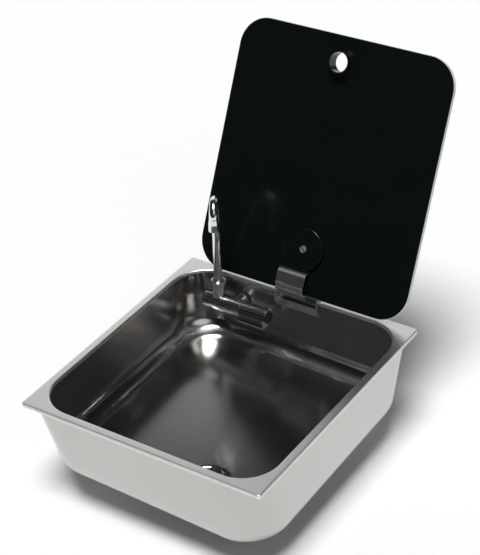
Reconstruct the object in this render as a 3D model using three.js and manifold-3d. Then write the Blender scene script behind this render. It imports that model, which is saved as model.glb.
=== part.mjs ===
// A drop-in sink for a camper van: a pressed steel bowl with a narrow rim, a black glass lid on a
// goose-neck hinge and a tap whose spout folds down into the bowl, so that the lid can close over it.
// Millimetres, +Z up, +Y to the rear, +X to the right. The origin is the centre of the rim, in the
// plane of the worktop that the rim rests on. The lid is built closed, in a group that turns it open.
import * as THREE from "three";
import { mergeVertices } from "three/addons/utils/BufferGeometryUtils.js";
import Module from "manifold-3d";

const wasm = await Module();
wasm.setup();

// ---------- driving dimensions ----------

// Clearances
const GAP = 0.3; // between pieces that rest on each other
const RUN = 0.3; // round a shaft that turns

// Rim and bowl
const SINK_WIDTH = 420; // along X, over the rim
const SINK_LENGTH = 440; // along Y, over the rim
const SHEET = 1; // steel thickness
const LIP_HEIGHT = 6; // from the worktop to the rim's top
const LIP_ROUND = 2; // radius of the rim's rolled outer edge
const RIM_WIDTH = 11; // flat of the rim, from its outer edge to the opening
const RIM_CORNER = 5; // outer corner radius, seen from above
const OPENING_CORNER = 60; // corner radius of the opening
const OPENING_BEND = 3; // bend from the rim down into the opening's skirt
const SKIRT_HEIGHT = 4.8; // turned-down edge of the opening, from the rim's top
const BOWL_DEPTH = 124; // from the rim's top to the floor's upper face, at the centre
const WALL_SETBACK = 8; // from the rim's outer edge to the wall's inner face, at the top
const WALL_DRAFT = THREE.MathUtils.degToRad(0.5);
const WALL_TOP_CORNER = 27; // corner radius of the wall under the rim
const WALL_FOOT_CORNER = 73; // corner radius of the wall where it meets the floor's fillet
const FLOOR_FILLET = 32;
const FLOOR_FALL_X = -0.045; // the floor falls to the right and to the front
const FLOOR_FALL_Y = 0.031;

// Seal under the rim
const SEAL_WIDTH = 3.5;
const SEAL_GAP = 0.6; // to the lip

// Waste
const WASTE_FROM_RIGHT = 170; // from the rim's right edge to the middle of the waste
const WASTE_FROM_FRONT = 104; // from the rim's front edge
const WASTE_HOLE = 22; // radius of the hole in the bowl
const DISH_RADIUS = 37;
const DISH_DEPTH = 5;
const FLANGE_RADIUS = 33;
const FLANGE_HEIGHT = 2;
const STRAINER_HOLE = 2.5; // radius
const STRAINER_CIRCLE = 12; // radius of the circle that the holes lie on
const STRAINER_COUNT = 8;
const WASTE_SEAL = 2; // thickness of each rubber seal
const SEAL_INSET = 2; // of a seal's or a pad's edge, inside the piece that presses on it
const WASTE_BODY_RADIUS = 31;
const WASTE_BODY_HEIGHT = 16;
const WASTE_PIPE_RADIUS = 19;
const WASTE_PIPE_LENGTH = 24;
const WASTE_WALL = 3;
const WASTE_BOLT_RADIUS = 3;
const WASTE_BOLT_HEAD = 6.5;
const WASTE_BOLT_HEAD_HEIGHT = 2.5;
const WASTE_BAR = 8; // width of the bar that the bolt screws into
const WASTE_BAR_HEIGHT = 6;
const WASTE_NECK = 21; // radius of the flange's neck and of the body's mouth

// Rubber buffers that the closed lid rests on, bonded to the front wall
const BUFFER_X = 118;
const BUFFER_RADIUS = 9;
const BUFFER_LENGTH = 14;

// Glass lid
const LID_WIDTH = 380;
const LID_LENGTH = 408;
const LID_CORNER = 48;
const GLASS = 6;
const LID_REAR_GAP = 5.5; // from the closed lid's rear edge to the opening
const LID_SINK = 5; // underside of the closed lid below the rim's top
const LID_OPEN = THREE.MathUtils.degToRad(117);

// Finger hole and its grommet
const FINGER_X = -3;
const FINGER_FROM_FRONT = 41; // from the lid's front edge
const FINGER_RADIUS = 15.5; // clear hole
const GROMMET_WALL = 2.2;
const GROMMET_FLANGE = 4; // how far the flange reaches past the wall
const GROMMET_FLANGE_HEIGHT = 2;
const GROMMET_DEPTH = 13; // under the glass
const GROMMET_RING_HEIGHT = 1.8;

// Hinge
const PIN_FROM_EDGE = 12.5; // from the rim's rear edge to the pin
const PIN_RADIUS = 2;
const PIN_HEAD_RADIUS = 3;
const PIN_HEAD = 1.5;
const BARREL_RADIUS = 3.2;
const EAR_INSIDE = 37.5; // half the distance between the bracket's ears
const EAR_THICKNESS = 2;
const EAR_RADIUS = 3.6; // round the pin, clear of the closed lid's rear edge
const EAR_FRONT = 6.5; // the ears' front edge, in front of the pin
const NOTCH_DEPTH = 8; // of the notch in the rear wall and rim, for the hinge's barrel
const NOTCH_CLEAR = 0.8; // round the ears and the pin's heads
const BRACKET_PLATE = 4;
const BRACKET_TOP = 15; // below the rim's top
const BRACKET_HEIGHT = 14;
const BRACKET_SCREW_X = 14;
const BRACKET_SCREW_DOWN = 22.5; // below the rim's top
const BRACKET_SCREW_RADIUS = 2;
const BRACKET_HEAD_RADIUS = 3.6;
const BRACKET_HEAD = 1.8;
const BRACKET_SCREW_END = 5; // how far the screws reach past the wall
const BRACKET_NUT_RADIUS = 4;
const BRACKET_NUT_HEIGHT = 3;
const ARM_WIDTH = 50;
const ARM_X = -8.5; // middle of the arm
const ARM_THICKNESS = 2;
const ARM_BEND = 3; // how far the bend at its foot reaches
const ARM_FOOT_Y = 5.2; // foot of the goose neck in front of the pin
const ARM_FOOT_DROP = 12.2; // of the goose neck under the pin
const ARM_HOOK_REACH = 34.5; // where the goose neck leaves its foot
const ARM_MEETS_GLASS = 41.5; // from the pin
const DISC_ALONG = 72; // from the lid's rear edge to the clamping screw
const DISC_RADIUS = 34;
const DISC_HEIGHT = 3;
const PAD_HEIGHT = 1; // rubber pad between arm and glass
const CLAMP_SCREW_RADIUS = 3;
const CLAMP_HEAD_RADIUS = 5.5;
const CLAMP_HEAD = 2;
const CLAMP_NUT_RADIUS = 9;
const CLAMP_NUT_HEIGHT = 4;
const CLAMP_NUT_DOME = 1.5; // thickness of the cap over the screw's end
const CLAMP_SLOT = 1.4; // width of the screwdriver slot
const CLAMP_SLOT_DEPTH = 0.9;

// Tap
const TAP_DOWN = 43; // of its port below the rim's top
const TAP_STANDOFF = 26.5; // from the tap's axis to the wall
const TAP_RADIUS = 14;
const ELBOW_LEFT = -163;
const BODY_LEFT = -125;
const BODY_RIGHT = -89;
const KNOB_RIGHT = -42.5;
const PORT_X = -107;
const SEAM = 0.6; // between pieces that turn against each other
const SPIGOT_RADIUS = 8;
const SPIGOT_LENGTH = 22;
const RING_GROOVE = 1.5; // depth
const RING_WIDTH = 2.6;
const RING_FROM_END = 5; // from the spigot's end to the groove
const RING_SLACK = 0.1; // on each side of the ring in its groove
const END_CHAMFER = 3;
const END_CAP = 4; // thickness of the elbow's end cap
const COLLAR_X = -136.5;
const STUB_RADIUS = 9.4;
const STUB_TOP = 17; // above the tap's axis
const COLLAR_RADIUS = 10.5;
const COLLAR_TOP = 41; // above the tap's axis
const GRUB_RADIUS = 2.5;
const GRUB_LENGTH = 5;
const GRUB_DOWN = 6; // below the collar's top
const TUBE_RADIUS = 7;
const TUBE_BORE = 5;
const TUBE_SEAT = 19; // foot of the spout above the tap's axis
const ARCH_RADIUS = 20;
const ARCH_TOP = 193; // middle of the tube above the tap's axis
const SPOUT_TURN = THREE.MathUtils.degToRad(29.5); // from straight ahead towards +X
const SPOUT_LEAN = THREE.MathUtils.degToRad(4); // back from upright, in use
const NOZZLE_RADIUS = 8.2;
const NOZZLE_LENGTH = 20.5;
const NOZZLE_WALL = 1.4;
const NOZZLE_FLARE = 8; // length over which the nozzle widens
const NOZZLE_INSERT = 5;
const AERATOR_RECESS = 0.5;
const BOSS_RADIUS = 12;
const SHANK_RADIUS = 10;
const SHANK_LENGTH = 26; // behind the wall
const SHANK_BORE = 6;
const SHANK_BORE_DEPTH = 12;
const PORT_SEAL = 2;
const NUT_RADIUS = 17;
const NUT_HEIGHT = 7;
const WASHER = 1.5;
const SPINDLE_RADIUS = 5;
const SPINDLE_IN_BODY = 14;
const SPINDLE_IN_KNOB = 26;
const KNOB_CORE = 13;
const KNOB_RIBS = 14;
const KNOB_RIB = 1.2; // height of a rib
const WING_REACH = 21; // from the tap's axis to the lever's tip
const WING_ANGLE = THREE.MathUtils.degToRad(215); // from straight behind, over the top
const WING_SPREAD = THREE.MathUtils.degToRad(50);
const KNOB_CAP = 2;
const KNOB_CAP_RADIUS = 11;

// Broken edges
const CAP_EDGE = 0.7; // of small turned heads and caps
const EDGE = 1; // of discs and flanges
const BUFFER_EDGE = 1.5;

// ---------- sizes that follow from them ----------

const RIM_TOP = LIP_HEIGHT;
const FLOOR_TOP = RIM_TOP - BOWL_DEPTH;
const UP = new THREE.Vector3(0, 0, 1);
const PIN_Y = SINK_LENGTH / 2 - PIN_FROM_EDGE;
const WASTE_X = SINK_WIDTH / 2 - WASTE_FROM_RIGHT;
const WASTE_Y = WASTE_FROM_FRONT - SINK_LENGTH / 2;

// The wall's inner face at a height: its distance in from the rim's outer edge.
const wallInset = (z) => WALL_SETBACK + (RIM_TOP - z) * Math.tan(WALL_DRAFT);
const rearWallY = (z) => SINK_LENGTH / 2 - wallInset(z);
// The floor falls towards one corner, and the walls follow it in proportion to their depth under
// the worktop.
const fall = (x, y, z) =>
  ((FLOOR_FALL_X * x + FLOOR_FALL_Y * y) * Math.max(0, -z)) / (BOWL_DEPTH - RIM_TOP);

// ---------- materials ----------

const finish = (color, roughness, metalness) =>
  new THREE.MeshStandardMaterial({ color, roughness, metalness });
const STEEL = finish(0xc9c8c6, 0.28, 1);
const CHROME = finish(0xd8dadb, 0.08, 1);
const DARK_STEEL = finish(0x7d7f80, 0.2, 1);
const BLACK_GLASS = finish(0x0b0d0e, 0.05, 0);
const RUBBER = finish(0x141414, 0.8, 0);
const BLACK_PLASTIC = finish(0x18191a, 0.45, 0);
const BRASS = finish(0xb59a5a, 0.35, 1);

// ---------- solids ----------

// A closed geometry becomes a solid, whichever way its faces were wound.
function solid(geometry) {
  const bare = geometry.index ? geometry.toNonIndexed() : geometry.clone();
  for (const name of Object.keys(bare.attributes)) {
    if (name !== "position") bare.deleteAttribute(name);
  }
  const merged = mergeVertices(bare, 1e-4);
  const place = merged.attributes.position;
  const corners = [0, 1, 2].map(() => new THREE.Vector3());
  const faces = [];
  let volume = 0;
  for (let i = 0; i < merged.index.count; i += 3) {
    const face = [0, 1, 2].map((k) => merged.index.getX(i + k));
    if (new Set(face).size < 3) continue;
    corners.forEach((corner, k) => corner.fromBufferAttribute(place, face[k]));
    volume += corners[0].dot(corners[1].clone().cross(corners[2]));
    faces.push(face);
  }
  if (volume < 0) faces.forEach((face) => face.reverse());
  return new wasm.Manifold(
    new wasm.Mesh({
      numProp: 3,
      vertProperties: new Float32Array(place.array),
      triVerts: new Uint32Array(faces.flat()),
    }),
  );
}

function geometryOf(made) {
  const mesh = made.getMesh();
  const geometry = new THREE.BufferGeometry();
  const position = new THREE.BufferAttribute(new Float32Array(mesh.vertProperties), 3);
  geometry.setAttribute("position", position);
  geometry.setIndex(new THREE.BufferAttribute(new Uint32Array(mesh.triVerts), 1));
  geometry.computeVertexNormals();
  return geometry;
}

const join = (first, ...rest) => rest.reduce((sum, piece) => sum.add(piece), first);
const cut = (first, ...rest) => rest.reduce((left, piece) => left.subtract(piece), first);

function box(x0, x1, y0, y1, z0, z1) {
  const geometry = new THREE.BoxGeometry(x1 - x0, y1 - y0, z1 - z0);
  geometry.translate((x0 + x1) / 2, (y0 + y1) / 2, (z0 + z1) / 2);
  return solid(geometry);
}

// A round piece: [radius, height] corners of its outline, turned about an axis.
// The axis starts at `from` and points along `along`.
function turned(outline, from = [0, 0, 0], along = [0, 0, 1], sides = 32) {
  const points = outline.map(([r, h]) => new THREE.Vector2(r, h));
  const geometry = new THREE.LatheGeometry(points, sides);
  const turn = new THREE.Quaternion().setFromUnitVectors(
    new THREE.Vector3(0, 1, 0),
    new THREE.Vector3(...along).normalize(),
  );
  geometry.applyQuaternion(turn).translate(...from);
  return solid(geometry);
}

const rodOutline = (r, h0, h1) => [
  [0, h0],
  [r, h0],
  [r, h1],
  [0, h1],
];
const tubeOutline = (inner, outer, h0, h1) => [
  [inner, h0],
  [outer, h0],
  [outer, h1],
  [inner, h1],
  [inner, h0],
];
const rod = (r, h0, h1, from, along, sides) => turned(rodOutline(r, h0, h1), from, along, sides);
const pipe = (inner, outer, h0, h1, from, along, sides) =>
  turned(tubeOutline(inner, outer, h0, h1), from, along, sides);
const ALONG_X = [1, 0, 0];
const ALONG_Y = [0, 1, 0];

// A plate cut to an outline of [y, z] corners, from x0 to x1.
function sidePlate(outline, x0, x1) {
  const shape = new THREE.Shape(outline.map(([y, z]) => new THREE.Vector2(y, z)));
  const geometry = new THREE.ExtrudeGeometry(shape, { depth: x1 - x0, bevelEnabled: false });
  geometry.applyMatrix4(new THREE.Matrix4().set(0, 0, 1, x0, 1, 0, 0, 0, 0, 1, 0, 0, 0, 0, 0, 1));
  return solid(geometry);
}

// ---------- rounded rectangles, joined ring to ring ----------

const CORNER_STEPS = 7;
function ring(inset, z, corner) {
  const halfX = SINK_WIDTH / 2 - inset;
  const halfY = SINK_LENGTH / 2 - inset;
  const points = [];
  for (const [sx, sy, start] of [[1, 1, 0], [-1, 1, 1], [-1, -1, 2], [1, -1, 3]]) {
    for (let i = 0; i <= CORNER_STEPS; i++) {
      const angle = ((start + i / CORNER_STEPS) * Math.PI) / 2;
      const x = sx * (halfX - corner) + corner * Math.cos(angle);
      const y = sy * (halfY - corner) + corner * Math.sin(angle);
      points.push([x, y, z + fall(x, y, z)]);
    }
  }
  return points;
}

function joined(rings) {
  const around = rings[0].length;
  const middle = (points) => [0, 1, 2].map((k) => points.reduce((s, p) => s + p[k], 0) / around);
  const points = [...rings.flat(), middle(rings[0]), middle(rings.at(-1))];
  const faces = [];
  for (let i = 0; i < around; i++) {
    const next = (i + 1) % around;
    for (let level = 0; level + 1 < rings.length; level++) {
      const [a, b] = [level * around + i, level * around + next];
      faces.push(a, b, b + around, a, b + around, a + around);
    }
    const last = (rings.length - 1) * around;
    faces.push(next, i, points.length - 2);
    faces.push(last + i, last + next, points.length - 1);
  }
  const geometry = new THREE.BufferGeometry();
  geometry.setAttribute("position", new THREE.Float32BufferAttribute(points.flat(), 3));
  geometry.setIndex(faces);
  return solid(geometry);
}

const block = (inset, corner, z0, z1) => joined([ring(inset, z0, corner), ring(inset, z1, corner)]);

// The rings of the bowl's skin from the floor up to the rim. `out` is the distance outwards from
// the inner face, so the same rings give the inner and the outer skin. The corners tighten upwards.
const FILLET_STEPS = 6;
const WALL_STEPS = 4;
function skin(out) {
  const footZ = FLOOR_TOP + FLOOR_FILLET * (1 - Math.sin(WALL_DRAFT));
  const rings = [];
  for (let i = FILLET_STEPS; i > 0; i--) {
    const angle = WALL_DRAFT + ((Math.PI / 2 - WALL_DRAFT) * i) / FILLET_STEPS;
    const inwards = FLOOR_FILLET * (Math.cos(WALL_DRAFT) - Math.cos(angle));
    const offset = out * Math.cos(angle);
    const z = FLOOR_TOP + FLOOR_FILLET - (FLOOR_FILLET + out) * Math.sin(angle);
    rings.push(ring(wallInset(footZ) + inwards - offset, z, WALL_FOOT_CORNER - inwards + offset));
  }
  for (let i = 0; i <= WALL_STEPS; i++) {
    const z = THREE.MathUtils.lerp(footZ, RIM_TOP - SHEET, i / WALL_STEPS);
    const corner = THREE.MathUtils.lerp(WALL_FOOT_CORNER, WALL_TOP_CORNER, i / WALL_STEPS);
    rings.push(ring(wallInset(z) - out, z, corner + out));
  }
  return rings;
}

// ---------- sink bowl ----------

const wasteFloor = FLOOR_TOP + fall(WASTE_X, WASTE_Y, FLOOR_TOP);
const dishTop = wasteFloor - DISH_DEPTH;
const DISH_SLOPE = 4; // the dish is this much narrower at its bottom
const DISH_OVER = 6; // the dish's cutter reaches above the tilted floor

function sinkBowl() {
  const edge = [];
  for (let i = 0; i <= 3; i++) {
    const angle = (i / 3) * (Math.PI / 2);
    const inset = LIP_ROUND * (1 - Math.cos(angle));
    const z = RIM_TOP - LIP_ROUND * (1 - Math.sin(angle));
    edge.push(ring(inset, z, RIM_CORNER - inset));
  }
  const rim = joined([ring(0, 0, RIM_CORNER), ...edge]);
  const underRim = block(SHEET, RIM_CORNER - SHEET, -SHEET, RIM_TOP - SHEET);
  const above = ring(wallInset(RIM_TOP) - SHEET, RIM_TOP - SHEET / 2, WALL_TOP_CORNER + SHEET);
  const outside = joined([...skin(SHEET), above]);
  const inside = joined(skin(0));

  const skirtInset = RIM_WIDTH + OPENING_BEND;
  const skirtCorner = OPENING_CORNER - OPENING_BEND;
  const skirtFoot = RIM_TOP - SKIRT_HEIGHT;
  const skirt = block(skirtInset - SHEET, skirtCorner + SHEET, skirtFoot, RIM_TOP - SHEET / 2);
  const bend = [ring(skirtInset, skirtFoot - 1, skirtCorner)];
  for (let i = 0; i <= 3; i++) {
    const angle = (i / 3) * (Math.PI / 2);
    const out = OPENING_BEND * (1 - Math.cos(angle));
    const z = RIM_TOP - OPENING_BEND * (1 - Math.sin(angle));
    bend.push(ring(skirtInset - out, z, skirtCorner + out));
  }
  const opening = joined([...bend, ring(RIM_WIDTH, RIM_TOP + 1, OPENING_CORNER)]);

  const at = [WASTE_X, WASTE_Y, dishTop];
  const dish = (out, bottom) =>
    turned(
      [
        [0, bottom],
        [DISH_RADIUS - DISH_SLOPE + out, bottom],
        [DISH_RADIUS + out, DISH_DEPTH],
        [DISH_RADIUS + out, DISH_DEPTH + DISH_OVER],
        [0, DISH_DEPTH + DISH_OVER],
      ],
      at,
    );
  const wall = [0, rearWallY(RIM_TOP - BRACKET_SCREW_DOWN), RIM_TOP - BRACKET_SCREW_DOWN];
  const through = 4 * SHEET;
  const screwHoles = [-BRACKET_SCREW_X, BRACKET_SCREW_X].map((x) =>
    rod(BRACKET_SCREW_RADIUS + GAP, -through, through, [x, wall[1], wall[2]], wallOut, 12),
  );
  const notchSide = EAR_INSIDE + EAR_THICKNESS + GAP + PIN_HEAD + NOTCH_CLEAR;
  const notchBack = PIN_Y + EAR_RADIUS + NOTCH_CLEAR;
  const notchFloor = RIM_TOP - NOTCH_DEPTH;
  return cut(
    join(cut(join(rim.subtract(underRim), outside, dish(SHEET, -SHEET)), inside), skirt),
    opening,
    box(-notchSide, notchSide, 0, notchBack, notchFloor, RIM_TOP + 1),
    dish(0, 0),
    rod(WASTE_HOLE, -through, through, at, undefined, 32),
    rod(SHANK_RADIUS + GAP, -through, through, [PORT_X, tapWall[0], tapWall[1]], wallOut, 24),
    ...screwHoles,
  );
}

// The direction square to the drafted rear wall, out of the bowl.
const wallOut = [0, Math.cos(WALL_DRAFT), -Math.sin(WALL_DRAFT)];
// The tap's port on the rear wall, and the tap's axis in front of it: [y, z].
const tapWall = [rearWallY(RIM_TOP - TAP_DOWN), RIM_TOP - TAP_DOWN];
const tapAxis = [tapWall[0] - TAP_STANDOFF * wallOut[1], tapWall[1] - TAP_STANDOFF * wallOut[2]];
// The buffers' top carries the closed lid's underside.
const bufferZ = RIM_TOP - LID_SINK - GAP - BUFFER_RADIUS;
const bufferWall = [rearWallY(bufferZ), bufferZ]; // the front wall mirrors the rear one

function rimSeal() {
  const outer = SHEET + SEAL_GAP;
  const corner = RIM_CORNER - SHEET;
  const inner = outer + SEAL_WIDTH;
  return cut(
    block(outer, corner, 0, RIM_TOP - SHEET - GAP),
    block(inner, WALL_TOP_CORNER + SHEET, -SHEET, RIM_TOP),
  );
}

const buffer = () =>
  turned([
    [0, -GAP],
    [BUFFER_RADIUS, -GAP],
    [BUFFER_RADIUS, -GAP - BUFFER_LENGTH + BUFFER_EDGE],
    [BUFFER_RADIUS - BUFFER_EDGE, -GAP - BUFFER_LENGTH],
    [0, -GAP - BUFFER_LENGTH],
  ]);

// ---------- waste ----------

const sealTop = WASTE_SEAL + GAP; // the flange lies on the upper seal
const bodyTop = -SHEET - WASTE_SEAL - 2 * GAP; // heights from the dish's bottom

function wasteFlange() {
  const top = sealTop + GAP + FLANGE_HEIGHT;
  const plate = turned(
    [
      [0, top - 2 * FLANGE_HEIGHT],
      [WASTE_NECK, top - 2 * FLANGE_HEIGHT],
      [WASTE_NECK, top - FLANGE_HEIGHT],
      [FLANGE_RADIUS, top - FLANGE_HEIGHT],
      [FLANGE_RADIUS - EDGE, top],
      [WASTE_NECK, top],
      [WASTE_NECK - 2 * EDGE, top - FLANGE_HEIGHT],
      [0, top - FLANGE_HEIGHT],
    ],
    undefined,
    undefined,
    32,
  );
  const holes = [];
  for (let i = 0; i < STRAINER_COUNT; i++) {
    const angle = (i / STRAINER_COUNT) * 2 * Math.PI;
    const at = [STRAINER_CIRCLE * Math.cos(angle), STRAINER_CIRCLE * Math.sin(angle), 0];
    holes.push(rod(STRAINER_HOLE, -5, 8, at, undefined, 10));
  }
  return cut(plate, ...holes, rod(WASTE_BOLT_RADIUS + GAP, -5, 8, undefined, undefined, 12));
}

function wasteBody() {
  const foot = bodyTop - WASTE_BODY_HEIGHT;
  const end = foot - WASTE_PIPE_LENGTH;
  const shell = turned([
    [WASTE_NECK, bodyTop],
    [WASTE_BODY_RADIUS, bodyTop],
    [WASTE_BODY_RADIUS, bodyTop - WASTE_WALL],
    [WASTE_PIPE_RADIUS + 3, foot],
    [WASTE_PIPE_RADIUS, foot],
    [WASTE_PIPE_RADIUS, end],
    [WASTE_PIPE_RADIUS - WASTE_WALL, end],
    [WASTE_PIPE_RADIUS - WASTE_WALL, foot + WASTE_WALL],
    [WASTE_NECK, bodyTop - WASTE_WALL],
    [WASTE_NECK, bodyTop],
  ]);
  const across = WASTE_HOLE;
  const half = WASTE_BAR / 2;
  const bar = box(-across, across, -half, half, foot + 2, foot + 2 + WASTE_BAR_HEIGHT);
  return cut(shell.add(bar), rod(WASTE_BOLT_RADIUS + GAP, end, bodyTop, undefined, undefined, 12));
}

function wasteBolt() {
  const seat = sealTop + 2 * GAP;
  const foot = bodyTop - WASTE_BODY_HEIGHT + 1;
  return turned(
    [
      [0, foot],
      [WASTE_BOLT_RADIUS, foot],
      [WASTE_BOLT_RADIUS, seat],
      [WASTE_BOLT_HEAD, seat],
      [WASTE_BOLT_HEAD, seat + WASTE_BOLT_HEAD_HEIGHT - EDGE],
      [WASTE_BOLT_HEAD - 2 * EDGE, seat + WASTE_BOLT_HEAD_HEIGHT],
      [0, seat + WASTE_BOLT_HEAD_HEIGHT],
    ],
    undefined,
    undefined,
    16,
  );
}

// ---------- lid, built closed: the hinge pin is the origin ----------

const glassUnder = -LID_SINK;
const lidRear = SINK_LENGTH / 2 - RIM_WIDTH - LID_REAR_GAP - PIN_Y;
const fingerY = lidRear - LID_LENGTH + FINGER_FROM_FRONT;
const clampY = lidRear - DISC_ALONG;
const grommetOuter = FINGER_RADIUS + GROMMET_WALL;
const padTop = glassUnder - GAP;
const armTop = padTop - PAD_HEIGHT - GAP;
const discTop = armTop - ARM_THICKNESS - GAP;

function lidGlass() {
  const [half, r] = [LID_WIDTH / 2, LID_CORNER];
  const shape = new THREE.Shape();
  shape.moveTo(-half + r, lidRear);
  shape.absarc(-half + r, lidRear - r, r, Math.PI / 2, Math.PI, false);
  shape.absarc(-half + r, lidRear - LID_LENGTH + r, r, Math.PI, 1.5 * Math.PI, false);
  shape.absarc(half - r, lidRear - LID_LENGTH + r, r, 1.5 * Math.PI, 2 * Math.PI, false);
  shape.absarc(half - r, lidRear - r, r, 0, Math.PI / 2, false);
  const geometry = new THREE.ExtrudeGeometry(shape, {
    depth: GLASS,
    bevelEnabled: false,
    curveSegments: 10,
  });
  geometry.translate(0, 0, glassUnder);
  return cut(
    solid(geometry),
    rod(grommetOuter + GAP, -GLASS, 2 * GLASS, [FINGER_X, fingerY, glassUnder], undefined, 36),
    rod(CLAMP_SCREW_RADIUS + GAP, -GLASS, 2 * GLASS, [0, clampY, glassUnder], undefined, 16),
  );
}

function grommet() {
  const top = glassUnder + GLASS + GAP + GROMMET_RING_HEIGHT;
  const under = glassUnder - GAP;
  return turned(
    [
      [FINGER_RADIUS, top],
      [grommetOuter, top],
      [grommetOuter, under],
      [grommetOuter + GROMMET_FLANGE, under],
      [grommetOuter + GROMMET_FLANGE, under - GROMMET_FLANGE_HEIGHT],
      [grommetOuter, under - GROMMET_FLANGE_HEIGHT],
      [grommetOuter, under - GROMMET_DEPTH],
      [FINGER_RADIUS, under - GROMMET_DEPTH],
      [FINGER_RADIUS, top],
    ],
    [FINGER_X, fingerY, 0],
    undefined,
    36,
  );
}

function grommetRing() {
  const bottom = glassUnder + GLASS + GAP;
  const top = bottom + GROMMET_RING_HEIGHT;
  const outer = grommetOuter + GROMMET_FLANGE;
  return pipe(grommetOuter + GAP, outer, bottom, top, [FINGER_X, fingerY, 0], undefined, 36);
}

// The arm's middle line as [y, z]: from the pin down behind the lid's rear edge, forward under the
// lid, up to the glass and along it to the clamping screw.
function armLine() {
  const level = armTop - ARM_THICKNESS / 2;
  const at = (y, z) => new THREE.Vector2(y, z);
  const foot = at(-ARM_FOOT_Y, -ARM_FOOT_DROP);
  const turn = foot.clone().multiplyScalar(1 - ARM_BEND / foot.length());
  const flat = at(foot.x - ARM_BEND, foot.y);
  const leave = at(-ARM_HOOK_REACH, foot.y);
  const land = at(-ARM_MEETS_GLASS, level);
  const ease = (ARM_MEETS_GLASS - ARM_HOOK_REACH) / 3;
  const line = new THREE.CurvePath();
  line.add(new THREE.LineCurve(foot.clone().setLength(PIN_RADIUS + 2 * RUN), turn));
  line.add(new THREE.QuadraticBezierCurve(turn, foot, flat));
  line.add(new THREE.LineCurve(flat, leave));
  line.add(
    new THREE.CubicBezierCurve(leave, at(leave.x - ease, leave.y), at(land.x + ease, level), land),
  );
  line.add(new THREE.LineCurve(land, at(clampY - DISC_RADIUS / 2, level)));
  return line;
}

function hingeArm() {
  const middle = [];
  for (const [k, piece] of armLine().curves.entries()) {
    const steps = piece.isLineCurve ? 1 : 6;
    const points = piece.getPoints(steps);
    middle.push(...(k ? points.slice(1) : points));
  }
  const side = (sign) =>
    middle.map((p, i) => {
      const before = middle[Math.max(0, i - 1)];
      const after = middle[Math.min(middle.length - 1, i + 1)];
      const run = after.clone().sub(before).normalize();
      return [p.x - (sign * run.y * ARM_THICKNESS) / 2, p.y + (sign * run.x * ARM_THICKNESS) / 2];
    });
  const strip = sidePlate(
    [...side(1), ...side(-1).reverse()],
    ARM_X - ARM_WIDTH / 2,
    ARM_X + ARM_WIDTH / 2,
  );
  const start = [ARM_X - ARM_WIDTH / 2, 0, 0];
  return cut(
    strip.add(rod(BARREL_RADIUS, 0, ARM_WIDTH, start, ALONG_X, 20)),
    rod(PIN_RADIUS + RUN, -1, ARM_WIDTH + 1, start, ALONG_X, 20),
    rod(CLAMP_SCREW_RADIUS + GAP, -GLASS, GLASS, [0, clampY, armTop], undefined, 16),
  );
}

function clampScrew() {
  const seat = discTop - DISC_HEIGHT + CLAMP_HEAD;
  const [across, half] = [CLAMP_HEAD_RADIUS, CLAMP_SLOT / 2];
  const slot = box(-across, across, -half, half, -CLAMP_HEAD - 1, -CLAMP_HEAD + CLAMP_SLOT_DEPTH);
  const end = glassUnder + GLASS + CLAMP_NUT_HEIGHT - CLAMP_NUT_DOME - seat;
  const whole = turned(
    [
      [0, -CLAMP_HEAD],
      [CLAMP_HEAD_RADIUS - CAP_EDGE, -CLAMP_HEAD],
      [CLAMP_HEAD_RADIUS, -CLAMP_HEAD + CAP_EDGE],
      [CLAMP_HEAD_RADIUS, 0],
      [CLAMP_SCREW_RADIUS, 0],
      [CLAMP_SCREW_RADIUS, end],
      [0, end],
    ],
    undefined,
    undefined,
    20,
  );
  return cut(whole, slot).translate([0, clampY, seat - GAP]);
}

function hingeDisc() {
  const bottom = discTop - DISC_HEIGHT;
  const plate = turned(
    [
      [0, bottom],
      [DISC_RADIUS - EDGE, bottom],
      [DISC_RADIUS, bottom + EDGE],
      [DISC_RADIUS, discTop],
      [0, discTop],
    ],
    undefined,
    undefined,
    40,
  );
  return cut(
    plate,
    rod(CLAMP_HEAD_RADIUS + 2 * GAP, bottom - 1, bottom + CLAMP_HEAD, undefined, undefined, 24),
    rod(CLAMP_SCREW_RADIUS + GAP, bottom - 1, discTop + 1, undefined, undefined, 16),
  ).translate([0, clampY, 0]);
}

function clampNut() {
  const bottom = glassUnder + GLASS + GAP;
  const top = bottom + CLAMP_NUT_HEIGHT;
  const dome = turned(
    [
      [0, bottom],
      [CLAMP_NUT_RADIUS, bottom],
      [CLAMP_NUT_RADIUS, bottom + CLAMP_NUT_HEIGHT / 2],
      [CLAMP_NUT_RADIUS - 3, top],
      [0, top],
    ],
    undefined,
    undefined,
    24,
  );
  const bore = rod(CLAMP_SCREW_RADIUS + GAP, bottom - 1, top - 1, undefined, undefined, 16);
  return cut(dome, bore).translate([0, clampY, 0]);
}

// ---------- hinge bracket on the rear wall, in the sink's frame ----------

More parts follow.
